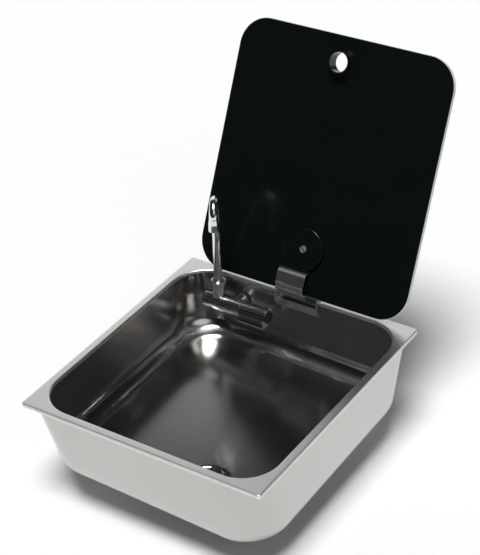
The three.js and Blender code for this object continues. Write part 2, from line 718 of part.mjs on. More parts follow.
function hingeBracket() {
  const top = RIM_TOP - BRACKET_TOP;
  const bottom = top - BRACKET_HEIGHT;
  const half = EAR_INSIDE + EAR_THICKNESS;
  const faceY = (z) => rearWallY(z) - GAP;
  const plate = sidePlate(
    [
      [faceY(bottom), bottom],
      [faceY(top), top],
      [faceY(top) - BRACKET_PLATE, top],
      [faceY(bottom) - BRACKET_PLATE, bottom],
    ],
    -half,
    half,
  );
  const notch = RIM_TOP - NOTCH_DEPTH;
  const clearLid = RIM_TOP - LID_SINK - 2 * GAP;
  const outline = [
    [faceY(bottom), bottom],
    [faceY(notch), notch + GAP],
    [PIN_Y + EAR_RADIUS, RIM_TOP - EAR_RADIUS / 2],
    [PIN_Y + EAR_RADIUS, RIM_TOP + EAR_RADIUS / 2],
    [PIN_Y + EAR_RADIUS / 2, RIM_TOP + EAR_RADIUS],
    [PIN_Y - EAR_RADIUS / 2, RIM_TOP + EAR_RADIUS],
    [PIN_Y - EAR_RADIUS, RIM_TOP + EAR_RADIUS / 2],
    [PIN_Y - EAR_RADIUS, clearLid],
    [PIN_Y - EAR_FRONT, clearLid - (EAR_FRONT - EAR_RADIUS)],
    [PIN_Y - EAR_FRONT, top],
    [faceY(bottom) - BRACKET_PLATE, bottom],
  ];
  const screwZ = RIM_TOP - BRACKET_SCREW_DOWN;
  const holes = [-BRACKET_SCREW_X, BRACKET_SCREW_X].map((x) =>
    rod(BRACKET_SCREW_RADIUS + GAP, -4, 4, [x, faceY(screwZ), screwZ], wallOut, 12),
  );
  return cut(
    join(plate, sidePlate(outline, -half, -EAR_INSIDE), sidePlate(outline, EAR_INSIDE, half)),
    ...holes,
    rod(PIN_RADIUS + GAP, -half - 1, half + 1, [0, PIN_Y, RIM_TOP], ALONG_X, 20),
  );
}

function hingePin() {
  const end = EAR_INSIDE + EAR_THICKNESS + GAP;
  return turned(
    [
      [0, -end - PIN_HEAD],
      [PIN_HEAD_RADIUS, -end - PIN_HEAD],
      [PIN_HEAD_RADIUS, -end],
      [PIN_RADIUS, -end],
      [PIN_RADIUS, end],
      [PIN_HEAD_RADIUS, end],
      [PIN_HEAD_RADIUS, end + PIN_HEAD],
      [0, end + PIN_HEAD],
    ],
    [0, PIN_Y, RIM_TOP],
    ALONG_X,
    16,
  );
}

// A pan-head screw along +Z: its head lies under z = 0, towards the bowl.
function bracketScrew() {
  const reach = BRACKET_PLATE + SHEET + 3 * GAP + BRACKET_SCREW_END;
  return turned(
    [
      [0, -BRACKET_HEAD],
      [BRACKET_HEAD_RADIUS - EDGE, -BRACKET_HEAD],
      [BRACKET_HEAD_RADIUS, -BRACKET_HEAD + EDGE],
      [BRACKET_HEAD_RADIUS, 0],
      [BRACKET_SCREW_RADIUS, 0],
      [BRACKET_SCREW_RADIUS, reach],
      [0, reach],
    ],
    undefined,
    undefined,
    16,
  );
}

function hexNut(radius, bore, height) {
  const hole = rod(bore, -1, height + 1, undefined, undefined, 20);
  return cut(rod(radius, 0, height, undefined, undefined, 6), hole);
}

// ---------- tap: its axis is the origin, along X ----------

const portWall = TAP_STANDOFF; // from the axis to the wall's inner face, square to the wall
const elbowRight = BODY_LEFT - SEAM;
const knobLeft = BODY_RIGHT + SEAM;
const grooveX = BODY_LEFT - SPIGOT_LENGTH + RING_FROM_END;

function tapBody() {
  const boreEnd = BODY_RIGHT - SPINDLE_IN_BODY - GAP;
  const barrel = rod(TAP_RADIUS, BODY_LEFT, BODY_RIGHT, undefined, ALONG_X, 32);
  const spigot = rod(SPIGOT_RADIUS, BODY_LEFT - SPIGOT_LENGTH, BODY_LEFT, undefined, ALONG_X, 24);
  const groove = pipe(
    SPIGOT_RADIUS - RING_GROOVE,
    SPIGOT_RADIUS + 1,
    grooveX - RING_WIDTH / 2 - RING_SLACK,
    grooveX + RING_WIDTH / 2 + RING_SLACK,
    undefined,
    ALONG_X,
    24,
  );
  const port = [PORT_X, 0, 0];
  const end = portWall + SHANK_LENGTH;
  return cut(
    join(
      barrel,
      spigot,
      rod(BOSS_RADIUS, 0, portWall - PORT_SEAL - 2 * GAP, port, wallOut, 24),
      rod(SHANK_RADIUS, 0, end, port, wallOut, 24),
    ),
    groove,
    rod(SPINDLE_RADIUS + RUN, boreEnd, BODY_RIGHT + 1, undefined, ALONG_X, 20),
    rod(SHANK_BORE, end - SHANK_BORE_DEPTH, end + 1, port, wallOut, 20),
  );
}

function spoutElbow() {
  const left = ELBOW_LEFT + END_CAP + GAP;
  return cut(
    join(
      rod(TAP_RADIUS, left, elbowRight, undefined, ALONG_X, 32),
      rod(STUB_RADIUS, 0, STUB_TOP, [COLLAR_X, 0, 0], undefined, 24),
    ),
    rod(SPIGOT_RADIUS + RUN, BODY_LEFT - SPIGOT_LENGTH - 1, elbowRight + 1, undefined, ALONG_X, 24),
    rod(TUBE_BORE, 0, STUB_TOP + 1, [COLLAR_X, 0, 0], undefined, 16),
  );
}

const elbowCap = () =>
  turned(
    [
      [0, ELBOW_LEFT],
      [TAP_RADIUS - END_CHAMFER, ELBOW_LEFT],
      [TAP_RADIUS, ELBOW_LEFT + END_CHAMFER],
      [TAP_RADIUS, ELBOW_LEFT + END_CAP],
      [0, ELBOW_LEFT + END_CAP],
    ],
    undefined,
    ALONG_X,
    32,
  );

function spoutCollar() {
  const bottom = STUB_TOP + GAP;
  const sleeve = turned(
    [
      [TUBE_RADIUS + RUN, bottom],
      [COLLAR_RADIUS, bottom],
      [COLLAR_RADIUS, COLLAR_TOP - 2],
      [COLLAR_RADIUS + 1, COLLAR_TOP - 1.6],
      [COLLAR_RADIUS + 1, COLLAR_TOP - 0.6],
      [COLLAR_RADIUS, COLLAR_TOP],
      [TUBE_RADIUS + RUN, COLLAR_TOP],
      [TUBE_RADIUS + RUN, bottom],
    ],
    [COLLAR_X, 0, 0],
  );
  const hole = rod(GRUB_RADIUS + GAP, 0, 2 * COLLAR_RADIUS, grubAt, ALONG_X, 12);
  return cut(sleeve, hole);
}

const grubAt = [COLLAR_X, 0, COLLAR_TOP - GRUB_DOWN];
const grubScrew = () =>
  rod(GRUB_RADIUS, TUBE_RADIUS + RUN, TUBE_RADIUS + RUN + GRUB_LENGTH, grubAt, ALONG_X, 12);

// The spout's middle line: straight up, then half a circle over to the nozzle.
class SpoutLine extends THREE.Curve {
  getPoint(t) {
    const straight = ARCH_TOP - ARCH_RADIUS - TUBE_SEAT;
    const arch = Math.PI * ARCH_RADIUS;
    const run = t * (straight + arch);
    if (run < straight) return new THREE.Vector3(0, 0, TUBE_SEAT + run);
    const angle = (run - straight) / ARCH_RADIUS;
    const out = ARCH_RADIUS * (1 - Math.cos(angle));
    return new THREE.Vector3(0, -out, TUBE_SEAT + straight + ARCH_RADIUS * Math.sin(angle));
  }
}

const TUBE_SIDES = 9; // on each half
function spoutTube() {
  const circle = (r) => new THREE.Path().absarc(0, 0, r, 0, 2 * Math.PI, false);
  const shape = new THREE.Shape().setFromPoints(circle(TUBE_RADIUS).getPoints(TUBE_SIDES).slice(1));
  shape.holes.push(new THREE.Path().setFromPoints(circle(TUBE_BORE).getPoints(TUBE_SIDES).slice(1)));
  return solid(new THREE.ExtrudeGeometry(shape, { steps: 26, extrudePath: new SpoutLine() }));
}

const nozzleTop = ARCH_TOP - ARCH_RADIUS - GAP;
const nozzleEnd = nozzleTop - NOZZLE_LENGTH;
const nozzleAt = [0, -2 * ARCH_RADIUS, 0];
const nozzleBore = NOZZLE_RADIUS - NOZZLE_WALL;
const nozzle = () =>
  turned(
    [
      [TUBE_BORE, nozzleTop],
      [TUBE_RADIUS, nozzleTop],
      [NOZZLE_RADIUS, nozzleTop - NOZZLE_FLARE],
      [NOZZLE_RADIUS, nozzleEnd],
      [nozzleBore, nozzleEnd],
      [nozzleBore, nozzleEnd + NOZZLE_INSERT + 1],
      [TUBE_BORE, nozzleEnd + NOZZLE_INSERT + 1],
      [TUBE_BORE, nozzleTop],
    ],
    nozzleAt,
    undefined,
    24,
  );
function aerator() {
  const [low, high] = [nozzleEnd + AERATOR_RECESS, nozzleEnd + NOZZLE_INSERT];
  return rod(nozzleBore - GAP, low, high, nozzleAt, undefined, 20);
}

function tapKnob() {
  const shape = new THREE.Shape();
  const steps = 4 * KNOB_RIBS;
  for (let i = 0; i < steps; i++) {
    const angle = (i / steps) * 2 * Math.PI;
    const aside = Math.abs(Math.atan2(Math.sin(angle - WING_ANGLE), Math.cos(angle - WING_ANGLE)));
    const wing = Math.max(0, 1 - aside / WING_SPREAD) * (WING_REACH - KNOB_CORE);
    const r = KNOB_CORE + wing + (i % 4 < 2 ? KNOB_RIB : 0);
    shape[i ? "lineTo" : "moveTo"](r * Math.cos(angle), r * Math.sin(angle));
  }
  const depth = KNOB_RIGHT - knobLeft;
  const geometry = new THREE.ExtrudeGeometry(shape, { depth, bevelEnabled: false });
  geometry.applyMatrix4(
    new THREE.Matrix4().set(0, 0, 1, knobLeft, 1, 0, 0, 0, 0, 1, 0, 0, 0, 0, 0, 1),
  );
  const boreEnd = knobLeft + SPINDLE_IN_KNOB;
  return cut(
    solid(geometry),
    rod(SPINDLE_RADIUS + GAP, knobLeft - 1, boreEnd, undefined, ALONG_X, 20),
  );
}

function valveSpindle() {
  const [left, right] = [BODY_RIGHT - SPINDLE_IN_BODY, knobLeft + SPINDLE_IN_KNOB - GAP];
  return rod(SPINDLE_RADIUS, left, right, undefined, ALONG_X, 20);
}

const knobCap = () =>
  turned(
    [
      [0, KNOB_RIGHT + GAP],
      [KNOB_CAP_RADIUS, KNOB_RIGHT + GAP],
      [KNOB_CAP_RADIUS, KNOB_RIGHT + GAP + KNOB_CAP - CAP_EDGE],
      [KNOB_CAP_RADIUS - CAP_EDGE, KNOB_RIGHT + GAP + KNOB_CAP],
      [0, KNOB_RIGHT + GAP + KNOB_CAP],
    ],
    undefined,
    ALONG_X,
    28,
  );

// ---------- the scene graph ----------

const sink = new THREE.Group();

function group(parent, position = [0, 0, 0], rotationX = 0) {
  const made = new THREE.Group();
  made.position.set(...position);
  made.rotation.x = rotationX;
  parent.add(made);
  return made;
}

function add(parent, name, made, material) {
  const mesh = new THREE.Mesh(geometryOf(made), material);
  mesh.name = name;
  parent.add(mesh);
  return mesh;
}

add(sink, "sink_bowl", sinkBowl(), STEEL);
add(sink, "rim_seal", rimSeal(), RUBBER);

// A group whose +Z is square to a wall and points out of the bowl.
const outOfRear = (x, y, z) => group(sink, [x, y, z], -Math.PI / 2 - WALL_DRAFT);
const outOfFront = (x, y, z) => group(sink, [x, y, z], Math.PI / 2 + WALL_DRAFT);
add(outOfFront(-BUFFER_X, -bufferWall[0], bufferWall[1]), "lid_buffer_left", buffer(), RUBBER);
add(outOfFront(BUFFER_X, -bufferWall[0], bufferWall[1]), "lid_buffer_right", buffer(), RUBBER);

const waste = group(sink, [WASTE_X, WASTE_Y, dishTop]);
const sealOuter = FLANGE_RADIUS - SEAL_INSET;
add(waste, "waste_flange", wasteFlange(), STEEL);
add(waste, "waste_upper_seal", pipe(WASTE_NECK + GAP, sealOuter, GAP, sealTop), RUBBER);
add(waste, "waste_lower_seal", pipe(WASTE_HOLE, sealOuter - 1, bodyTop + GAP, -SHEET - GAP), RUBBER);
add(waste, "waste_body", wasteBody(), BLACK_PLASTIC);
add(waste, "waste_bolt", wasteBolt(), STEEL);

const lid = group(sink, [0, PIN_Y, RIM_TOP], -LID_OPEN);
add(lid, "lid_glass", lidGlass(), BLACK_GLASS);
add(lid, "finger_hole_grommet", grommet(), BLACK_PLASTIC);
add(lid, "finger_hole_ring", grommetRing(), BLACK_PLASTIC);
add(lid, "hinge_arm", hingeArm(), DARK_STEEL);
const padHole = CLAMP_SCREW_RADIUS + GAP;
const padEdge = DISC_RADIUS - SEAL_INSET;
const pad = pipe(padHole, padEdge, padTop - PAD_HEIGHT, padTop, [0, clampY, 0], undefined, 36);
add(lid, "hinge_pad", pad, RUBBER);
add(lid, "hinge_disc", hingeDisc(), BLACK_PLASTIC);
add(lid, "hinge_screw", clampScrew(), CHROME);
add(lid, "hinge_cap_nut", clampNut(), CHROME);

add(sink, "hinge_bracket", hingeBracket(), DARK_STEEL);
add(sink, "hinge_pin", hingePin(), STEEL);
const armRight = ARM_X + ARM_WIDTH / 2;
const pinAt = [0, PIN_Y, RIM_TOP];
const bushEnd = EAR_INSIDE - GAP;
const bush = pipe(PIN_RADIUS + GAP, BARREL_RADIUS, armRight + SEAM, bushEnd, pinAt, ALONG_X, 20);
add(sink, "hinge_bush", bush, BLACK_PLASTIC);
const bracketZ = RIM_TOP - BRACKET_SCREW_DOWN;
for (const [side, x] of [["left", -BRACKET_SCREW_X], ["right", BRACKET_SCREW_X]]) {
  const out = outOfRear(x, rearWallY(bracketZ), bracketZ);
  const head = group(out, [0, 0, -BRACKET_PLATE - 2 * GAP]);
  add(head, "bracket_screw_" + side, bracketScrew(), STEEL);
  const nut = group(out, [0, 0, SHEET + GAP]);
  const made = hexNut(BRACKET_NUT_RADIUS, BRACKET_SCREW_RADIUS + GAP, BRACKET_NUT_HEIGHT);
  add(nut, "bracket_nut_" + side, made, STEEL);
}

const tap = group(sink, [0, ...tapAxis]);
add(tap, "tap_body", tapBody(), CHROME);
const grooveFloor = SPIGOT_RADIUS - RING_GROOVE;
const ringSeal = pipe(
  grooveFloor + 2 * RING_SLACK,
  SPIGOT_RADIUS + RING_SLACK,
  grooveX - RING_WIDTH / 2,
  grooveX + RING_WIDTH / 2,
  undefined,
  ALONG_X,
  24,
);
add(tap, "spigot_ring", ringSeal, RUBBER);
const port = outOfRear(PORT_X, ...tapWall);
const portHole = SHANK_RADIUS + GAP;
add(port, "port_seal", pipe(portHole, BOSS_RADIUS + 2, -GAP - PORT_SEAL, -GAP), RUBBER);
add(port, "port_washer", pipe(portHole, NUT_RADIUS, SHEET + GAP, SHEET + GAP + WASHER), STEEL);
const nutAt = group(port, [0, 0, SHEET + 2 * GAP + WASHER]);
add(nutAt, "port_nut", hexNut(NUT_RADIUS, portHole, NUT_HEIGHT), BRASS);

const holder = group(tap, [0, 0, 0], -SPOUT_LEAN);
add(holder, "spout_elbow", spoutElbow(), CHROME);
add(holder, "elbow_cap", elbowCap(), CHROME);
add(holder, "spout_collar", spoutCollar(), CHROME);
add(holder, "collar_screw", grubScrew(), CHROME);

const spout = group(holder, [COLLAR_X, 0, 0]);
spout.setRotationFromAxisAngle(UP, SPOUT_TURN);
add(spout, "spout_tube", spoutTube(), CHROME);
add(spout, "spout_nozzle", nozzle(), CHROME);
add(spout, "aerator", aerator(), BLACK_PLASTIC);

add(tap, "tap_knob", tapKnob(), CHROME);
add(tap, "valve_spindle", valveSpindle(), BRASS);
add(tap, "knob_cap", knobCap(), BLACK_PLASTIC);

export default sink;
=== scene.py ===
# %% [markdown]
# A camper van sink, dressed for its picture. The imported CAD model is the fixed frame: it says where
# every piece is and how big it is, and this script gives the visible pieces their real surfaces.
# Lengths in the CAD model are in metres; the sizes written here are in millimetres and go through MM.

import math

import bmesh
import bpy
from mathutils import Matrix, Vector


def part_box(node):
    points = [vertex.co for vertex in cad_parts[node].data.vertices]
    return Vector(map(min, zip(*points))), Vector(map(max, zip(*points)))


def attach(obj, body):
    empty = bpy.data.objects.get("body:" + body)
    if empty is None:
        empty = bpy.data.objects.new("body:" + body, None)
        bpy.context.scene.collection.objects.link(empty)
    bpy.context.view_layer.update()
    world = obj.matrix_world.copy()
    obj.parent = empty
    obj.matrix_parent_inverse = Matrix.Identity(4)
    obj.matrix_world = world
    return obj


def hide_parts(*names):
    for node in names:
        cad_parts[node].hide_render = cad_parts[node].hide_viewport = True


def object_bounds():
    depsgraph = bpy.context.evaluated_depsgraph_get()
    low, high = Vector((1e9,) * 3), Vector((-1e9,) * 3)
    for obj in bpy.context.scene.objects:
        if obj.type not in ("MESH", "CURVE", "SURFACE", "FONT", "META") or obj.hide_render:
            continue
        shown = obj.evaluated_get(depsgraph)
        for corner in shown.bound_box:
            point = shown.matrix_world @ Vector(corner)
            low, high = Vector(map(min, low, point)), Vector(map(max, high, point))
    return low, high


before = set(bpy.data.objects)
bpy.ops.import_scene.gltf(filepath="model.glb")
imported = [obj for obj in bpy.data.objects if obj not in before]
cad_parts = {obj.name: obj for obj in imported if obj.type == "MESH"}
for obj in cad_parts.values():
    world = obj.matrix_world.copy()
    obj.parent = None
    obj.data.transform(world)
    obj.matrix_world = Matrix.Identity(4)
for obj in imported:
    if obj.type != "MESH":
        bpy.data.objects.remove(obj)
CAD_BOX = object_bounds()
MM = 0.001
GAP = 0.3  # between pieces that rest on each other, as in the CAD model
print("nodes in the frame:", len(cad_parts))

# %% [markdown]
# The photograph was taken from the right-hand front corner, 34 degrees above the worktop, with a long
# lens. The camera's place was worked out from the corners of the rim and of the open lid.

# %% Camera
PICTURE_LONG_SIDE = 555
FOCAL_LENGTH_PIXELS = 1799.5
SENSOR = 36.0
AZIMUTH = math.radians(36.2)
ELEVATION = math.radians(34.07)
ROLL = math.radians(-4.39)
DISTANCE = 2628.05 * MM
TARGET = Vector((14.91, 40.03, 145.72)) * MM

camera_data = bpy.data.cameras.new("camera")
camera_data.sensor_width = SENSOR
camera_data.lens = FOCAL_LENGTH_PIXELS * SENSOR / PICTURE_LONG_SIDE
camera = bpy.data.objects.new("camera", camera_data)
bpy.context.scene.collection.objects.link(camera)
back = Vector(
    (
        math.sin(AZIMUTH) * math.cos(ELEVATION),
        -math.cos(AZIMUTH) * math.cos(ELEVATION),
        math.sin(ELEVATION),
    )
)
right = (-back).cross(Vector((0, 0, 1))).normalized()
up = right.cross(-back)
rolled_right = math.cos(ROLL) * right + math.sin(ROLL) * up
rolled_up = math.cos(ROLL) * up - math.sin(ROLL) * right
turn = Matrix((rolled_right, rolled_up, back)).transposed().to_4x4()
camera.matrix_world = Matrix.Translation(TARGET + back * DISTANCE) @ turn
bpy.context.scene.camera = camera
bpy.context.scene.view_settings.view_transform = "Standard"
print("lens", round(camera_data.lens, 1), "mm")

# %% [markdown]
# Every finish is made of shader nodes. A few small helpers keep the recipes short: they turn a hex
# colour into the linear values that shaders work in, add a node with its settings and links, start
# and finish a material, and make a ramp of greys.

# %% Helpers for materials
def linear(hex_colour):
    """An sRGB hex colour as the linear RGBA that shader sockets take."""
    values = [int(hex_colour[i : i + 2], 16) / 255 for i in (1, 3, 5)]
    straight = [v / 12.92 if v <= 0.04045 else ((v + 0.055) / 1.055) ** 2.4 for v in values]
    return (*straight, 1.0)


def node(tree, kind, inputs=None, **settings):
    """Adds a shader node. An input is a value, or a node or socket that is linked to it."""
    made = tree.nodes.new(kind)
    for name, value in settings.items():
        setattr(made, name, value)
    for name, value in (inputs or {}).items():
        if isinstance(name, str):
            socket = next(s for s in made.inputs if s.name == name and s.enabled)
        else:
            socket = made.inputs[name]
        if isinstance(value, bpy.types.Node):
            value = next(s for s in value.outputs if s.enabled)
        if isinstance(value, bpy.types.NodeSocket):
            tree.links.new(value, socket)
        else:
            socket.default_value = value
    return made


def new_material(name):
    """A material with an empty node tree, and that tree."""
    made = bpy.data.materials.new(name)
    made.use_nodes = True
    made.node_tree.nodes.clear()
    return made, made.node_tree


def finish_material(tree, shader):
    """Plugs the finished shader into the material's output."""
    node(tree, "ShaderNodeOutputMaterial", {"Surface": shader})


def ramp(tree, factor, stops):
    """A colour ramp whose stops are [position, grey level] pairs."""
    made = node(tree, "ShaderNodeValToRGB", {"Fac": factor})
    elements = made.color_ramp.elements
    while len(elements) < len(stops):
        elements.new(0.5)
    for element, (position, level) in zip(elements, stops):
        element.position = position
        element.color = (level, level, level, 1.0)
    return made.outputs["Color"]


# %% [markdown]
# The bowl and its rim are pressed from stainless steel sheet, 1 mm thick. The sheet has a fine satin
# finish: it mirrors its surroundings, a little blurred, and drawing it to a bowl leaves faint waves
# that bend the reflections. So the recipe is a metal with low roughness, broken up by very fine grain,
# and a soft bump some centimetres across.

# %% Satin stainless steel
WAVE_SIZE = 70
WIPED_SIZE = 35


def satin_steel(name, tint, roughness, grain_mm, wave_height):
    made, tree = new_material(name)
    place = node(tree, "ShaderNodeTexCoord").outputs["Object"]
    grain = node(
        tree,
        "ShaderNodeTexNoise",
        {"Vector": place, "Scale": 1 / (grain_mm * MM), "Detail": 3.0, "Roughness": 0.6},
    )
    wave = node(
        tree,
        "ShaderNodeTexNoise",
        {"Vector": place, "Scale": 1 / (WAVE_SIZE * MM), "Detail": 1.0, "Roughness": 0.4},
    )
    wiped = node(
        tree,
        "ShaderNodeTexNoise",
        {"Vector": place, "Scale": 1 / (WIPED_SIZE * MM), "Detail": 4.0, "Roughness": 0.6},
    )
    rough = node(
        tree,
        "ShaderNodeMapRange",
        {"Value": wiped, "From Min": 0.3, "From Max": 0.7,
         "To Min": roughness * 0.95, "To Max": roughness * 1.05},
    )
    soft = node(
        tree,
        "ShaderNodeBump",
        {"Height": wave, "Strength": 1.0, "Distance": wave_height * MM},
    )
    fine = node(
        tree,
        "ShaderNodeBump",
        {"Height": grain, "Strength": 0.1, "Distance": 0.01 * MM,
         "Normal": soft},
    )
    shader = node(
        tree,
        "ShaderNodeBsdfPrincipled",
        {"Base Color": linear(tint), "Metallic": 1.0, "Roughness": rough,
         "Normal": fine},
    )
    finish_material(tree, shader)
    return made


# The bowl's copy of the steel is tinted darker than the rim's: painted shade in the bowl, painted light on
# the rim.
STEEL = satin_steel("stainless_steel_satin", "#bebcba", 0.18, 0.6, 0.02)
RIM_STEEL = satin_steel("stainless_steel_rim", "#e4e3e1", 0.34, 0.6, 0.01)
SCREW_STEEL = satin_steel("stainless_steel_turned", "#e0e0df", 0.4, 0.4, 0.0)
HINGE_STEEL = satin_steel("stainless_steel_polished", "#c4c4c3", 0.3, 0.8, 0.01)


# %% [markdown]
# The tap is brass with bright chrome plate, which is nearly a mirror. Handling leaves a thin haze on
# it, so it is a metal whose low roughness wanders a little from place to place.

# %% Chrome plate
def chrome_plate():
    made, tree = new_material("chrome_plate")
    place = node(tree, "ShaderNodeTexCoord").outputs["Object"]
    haze = node(
        tree,
        "ShaderNodeTexNoise",
        {"Vector": place, "Scale": 1 / (6 * MM), "Detail": 3.0, "Roughness": 0.55},
    )
    rough = node(
        tree,
        "ShaderNodeMapRange",
        {"Value": haze, "From Min": 0.35, "From Max": 0.7,
         "To Min": 0.14, "To Max": 0.22},
    )
    shader = node(
        tree,
        "ShaderNodeBsdfPrincipled",
        {"Base Color": linear("#e4e6e8"), "Metallic": 1.0, "Roughness": rough},
    )
    finish_material(tree, shader)
    return made


CHROME = chrome_plate()


# %% [markdown]
# The lid is a 6 mm pane of toughened glass with black enamel fired on. Its faces look like deep black
# gloss; its ground edge shows the pale green-grey of the glass itself, so the edge is a material of
# its own on the same mesh.

# %% Black enamelled glass, and its edge
def enamelled_glass():
    made, tree = new_material("black_enamelled_glass")
    place = node(tree, "ShaderNodeTexCoord").outputs["Object"]
    film = node(
        tree,
        "ShaderNodeTexNoise",
        {"Vector": place, "Scale": 1 / (60 * MM), "Detail": 3.0, "Roughness": 0.5},
    )
    rough = node(
        tree,
        "ShaderNodeMapRange",
        {"Value": film, "From Min": 0.3, "From Max": 0.7,
         "To Min": 0.16, "To Max": 0.22},
    )
    shader = node(
        tree,
        "ShaderNodeBsdfPrincipled",
        {"Base Color": linear("#0c1011"), "Roughness": rough, "IOR": 1.3},
    )
    finish_material(tree, shader)
    return made


def glass_edge():
    made, tree = new_material("ground_glass_edge")
    place = node(tree, "ShaderNodeTexCoord").outputs["Object"]
    grind = node(
        tree,
        "ShaderNodeTexNoise",
        {"Vector": place, "Scale": 1 / (1.5 * MM), "Detail": 2.0, "Roughness": 0.5},
    )
    tone = node(
        tree,
        "ShaderNodeMix",
        {"Factor": grind, "A": linear("#b4bdbb"), "B": linear("#cdd4d2")},
        data_type="RGBA",
    )
    shader = node(
        tree,
        "ShaderNodeBsdfPrincipled",
        {"Base Color": tone, "Roughness": 0.3, "IOR": 1.5},
    )
    finish_material(tree, shader)
    return made


LID_GLASS = enamelled_glass()
GLASS_EDGE = glass_edge()


# %% [markdown]
# Seals and buffers are black EPDM rubber, and the grommet, the disc and the knob's cap are moulded
# black plastic. Both are the same recipe: a dark base with a fine moulded grain, duller on the rubber.

# %% Rubber and moulded plastic
def moulded(name, low, high, grain_mm, roughness, ior=1.5):
    made, tree = new_material(name)
    place = node(tree, "ShaderNodeTexCoord").outputs["Object"]
    grain = node(
        tree,
        "ShaderNodeTexNoise",
        {"Vector": place, "Scale": 1 / (grain_mm * MM), "Detail": 4.0, "Roughness": 0.6},
    )
    tone = node(
        tree,
        "ShaderNodeMix",
        {"Factor": grain, "A": linear(low), "B": linear(high)},
        data_type="RGBA",
    )
    bump = node(
        tree,
        "ShaderNodeBump",
        {"Height": grain, "Strength": 0.3, "Distance": 0.05 * MM},
    )
    shader = node(
        tree,
        "ShaderNodeBsdfPrincipled",
        {"Base Color": tone, "Roughness": roughness, "IOR": ior,
         "Normal": bump},
    )
    finish_material(tree, shader)
    return made


RUBBER = moulded("epdm_rubber", "#0b0b0b", "#171717", 0.8, 0.7)
PLASTIC = moulded("moulded_black_plastic", "#08090a", "#101214", 0.5, 0.4)
POLISHED_PLASTIC = moulded("polished_black_plastic", "#0a0d0e", "#0e1213", 0.9, 0.22, 1.33)


# %% [markdown]
# The port nut and the valve's spindle are plain machined brass. The nut is behind the bowl, and the
# spindle is inside the tap.

# %% Machined brass
def machined_brass():
    made, tree = new_material("machined_brass")
    place = node(tree, "ShaderNodeTexCoord").outputs["Object"]
    marks = node(
        tree,
        "ShaderNodeTexNoise",
        {"Vector": place, "Scale": 1 / (0.9 * MM), "Detail": 3.0, "Roughness": 0.6},
    )
    tone = node(
        tree,
        "ShaderNodeMix",
        {"Factor": marks, "A": linear("#a98a4a"), "B": linear("#cfb06c")},
        data_type="RGBA",
    )
    shader = node(
        tree,
        "ShaderNodeBsdfPrincipled",
        {"Base Color": tone, "Metallic": 1.0, "Roughness": 0.3},
    )
    finish_material(tree, shader)
    return made


BRASS = machined_brass()
print("materials:", len(bpy.data.materials))


# %% [markdown]
# Pieces are made in bmesh and handed over as objects that sit at the origin. A piece names the body
# that it moves with, and the CAD nodes that it stands for.

# %% Helpers for pieces
PIECES = []


def piece(name, bm, materials, body, replaces=(), smooth_angle=35, recalc=True):
    """Turns a bmesh into a finished object that rides on a CAD body."""
    if recalc:
        bmesh.ops.remove_doubles(bm, verts=bm.verts, dist=0.001 * MM)
        bmesh.ops.recalc_face_normals(bm, faces=bm.faces)
    limit = math.radians(smooth_angle)
    for face in bm.faces:
        face.smooth = True
    for edge in bm.edges:
        edge.smooth = len(edge.link_faces) == 2 and edge.calc_face_angle(0) < limit
    mesh = bpy.data.meshes.new(name)
    bm.to_mesh(mesh)
    bm.free()
    for material in materials:
        mesh.materials.append(material)
    made = bpy.data.objects.new(name, mesh)
    bpy.context.scene.collection.objects.link(made)
    PIECES.append(made)
    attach(made, body)
    if replaces:
        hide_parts(*replaces)
    print(name, len(mesh.polygons), "faces")
    return made


def box_of(name):
    low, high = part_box(name)
    return Vector(low), Vector(high)


def middle_of(name):
    low, high = box_of(name)
    return (low + high) / 2


# %% [markdown]
# Rounded rectangles come up again and again: the rim, the opening, the bowl's walls and the lid. One
# helper makes such a loop: a rectangle whose four corners are bevelled as vertices, which leaves a true
# arc at each. Loops with the same number of points are then bridged into a skin.

# %% Rounded loops
CORNER_STEPS = 14


def rounded_loop(bm, half_x, half_y, corner, z, middle_y=0):
    """The vertices of a rounded rectangle, in order round it, in millimetres."""
    corners = [(-half_x, -half_y), (half_x, -half_y), (half_x, half_y), (-half_x, half_y)]
    verts = [bm.verts.new((x * MM, (y + middle_y) * MM, z * MM)) for x, y in corners]
    bm.faces.new(verts)
    bmesh.ops.bevel(
        bm,
        geom=verts,
        offset=corner * MM,
        segments=CORNER_STEPS,
        profile=0.5,
        affect="VERTICES",
        material=-1,
    )
    face = next(f for f in bm.faces if len(f.verts) > 4)
    return in_order(bm, face)


def in_order(bm, face):
    """The corners of a level face, anticlockwise from the foot of its right side. The face goes."""
    face.normal_update()
    verts = [loop.vert for loop in face.loops]
    if face.normal.z < 0:
        verts.reverse()
    widest = max(v.co.x for v in verts)
    first = min((v for v in verts if v.co.x > widest - 1e-6), key=lambda v: v.co.y)
    start = verts.index(first)
    bmesh.ops.delete(bm, geom=[face], context="FACES_ONLY")
    return verts[start:] + verts[:start]


def round_loop(bm, centre, radius, z):
    """A circle with as many points as a rounded rectangle, so that the two can be joined."""
    middle = Vector((centre[0], centre[1], z)) * MM

    def bearing(vert):
        return math.atan2(vert.co.y - middle.y, vert.co.x - middle.x)

    made = bmesh.ops.create_circle(
        bm,
        segments=4 * (CORNER_STEPS + 1),
        radius=radius * MM,
        matrix=Matrix.Translation(middle),
    )
    around = sorted(made["verts"], key=bearing)
    start = min(range(len(around)), key=lambda i: abs(bearing(around[i])))
    return around[start:] + around[:start]


def loft(bm, loops):
    """Joins each loop to the next with a band of quads, and returns the bands."""
    bands = []
    for low, high in zip(loops, loops[1:]):
        following = low[1:] + low[:1], high[1:] + high[:1]
        bands.append([bm.faces.new(quad) for quad in zip(low, following[0], following[1], high)])
    return bands


# %% [markdown]
# The rim is one frame of sheet: a short upright lip that stands on the worktop, a small rolled edge, a
# flat that reaches 11 mm in, and a bend down into the opening. A fine groove runs round the lip where
# the bowl's own flange is folded under the frame.

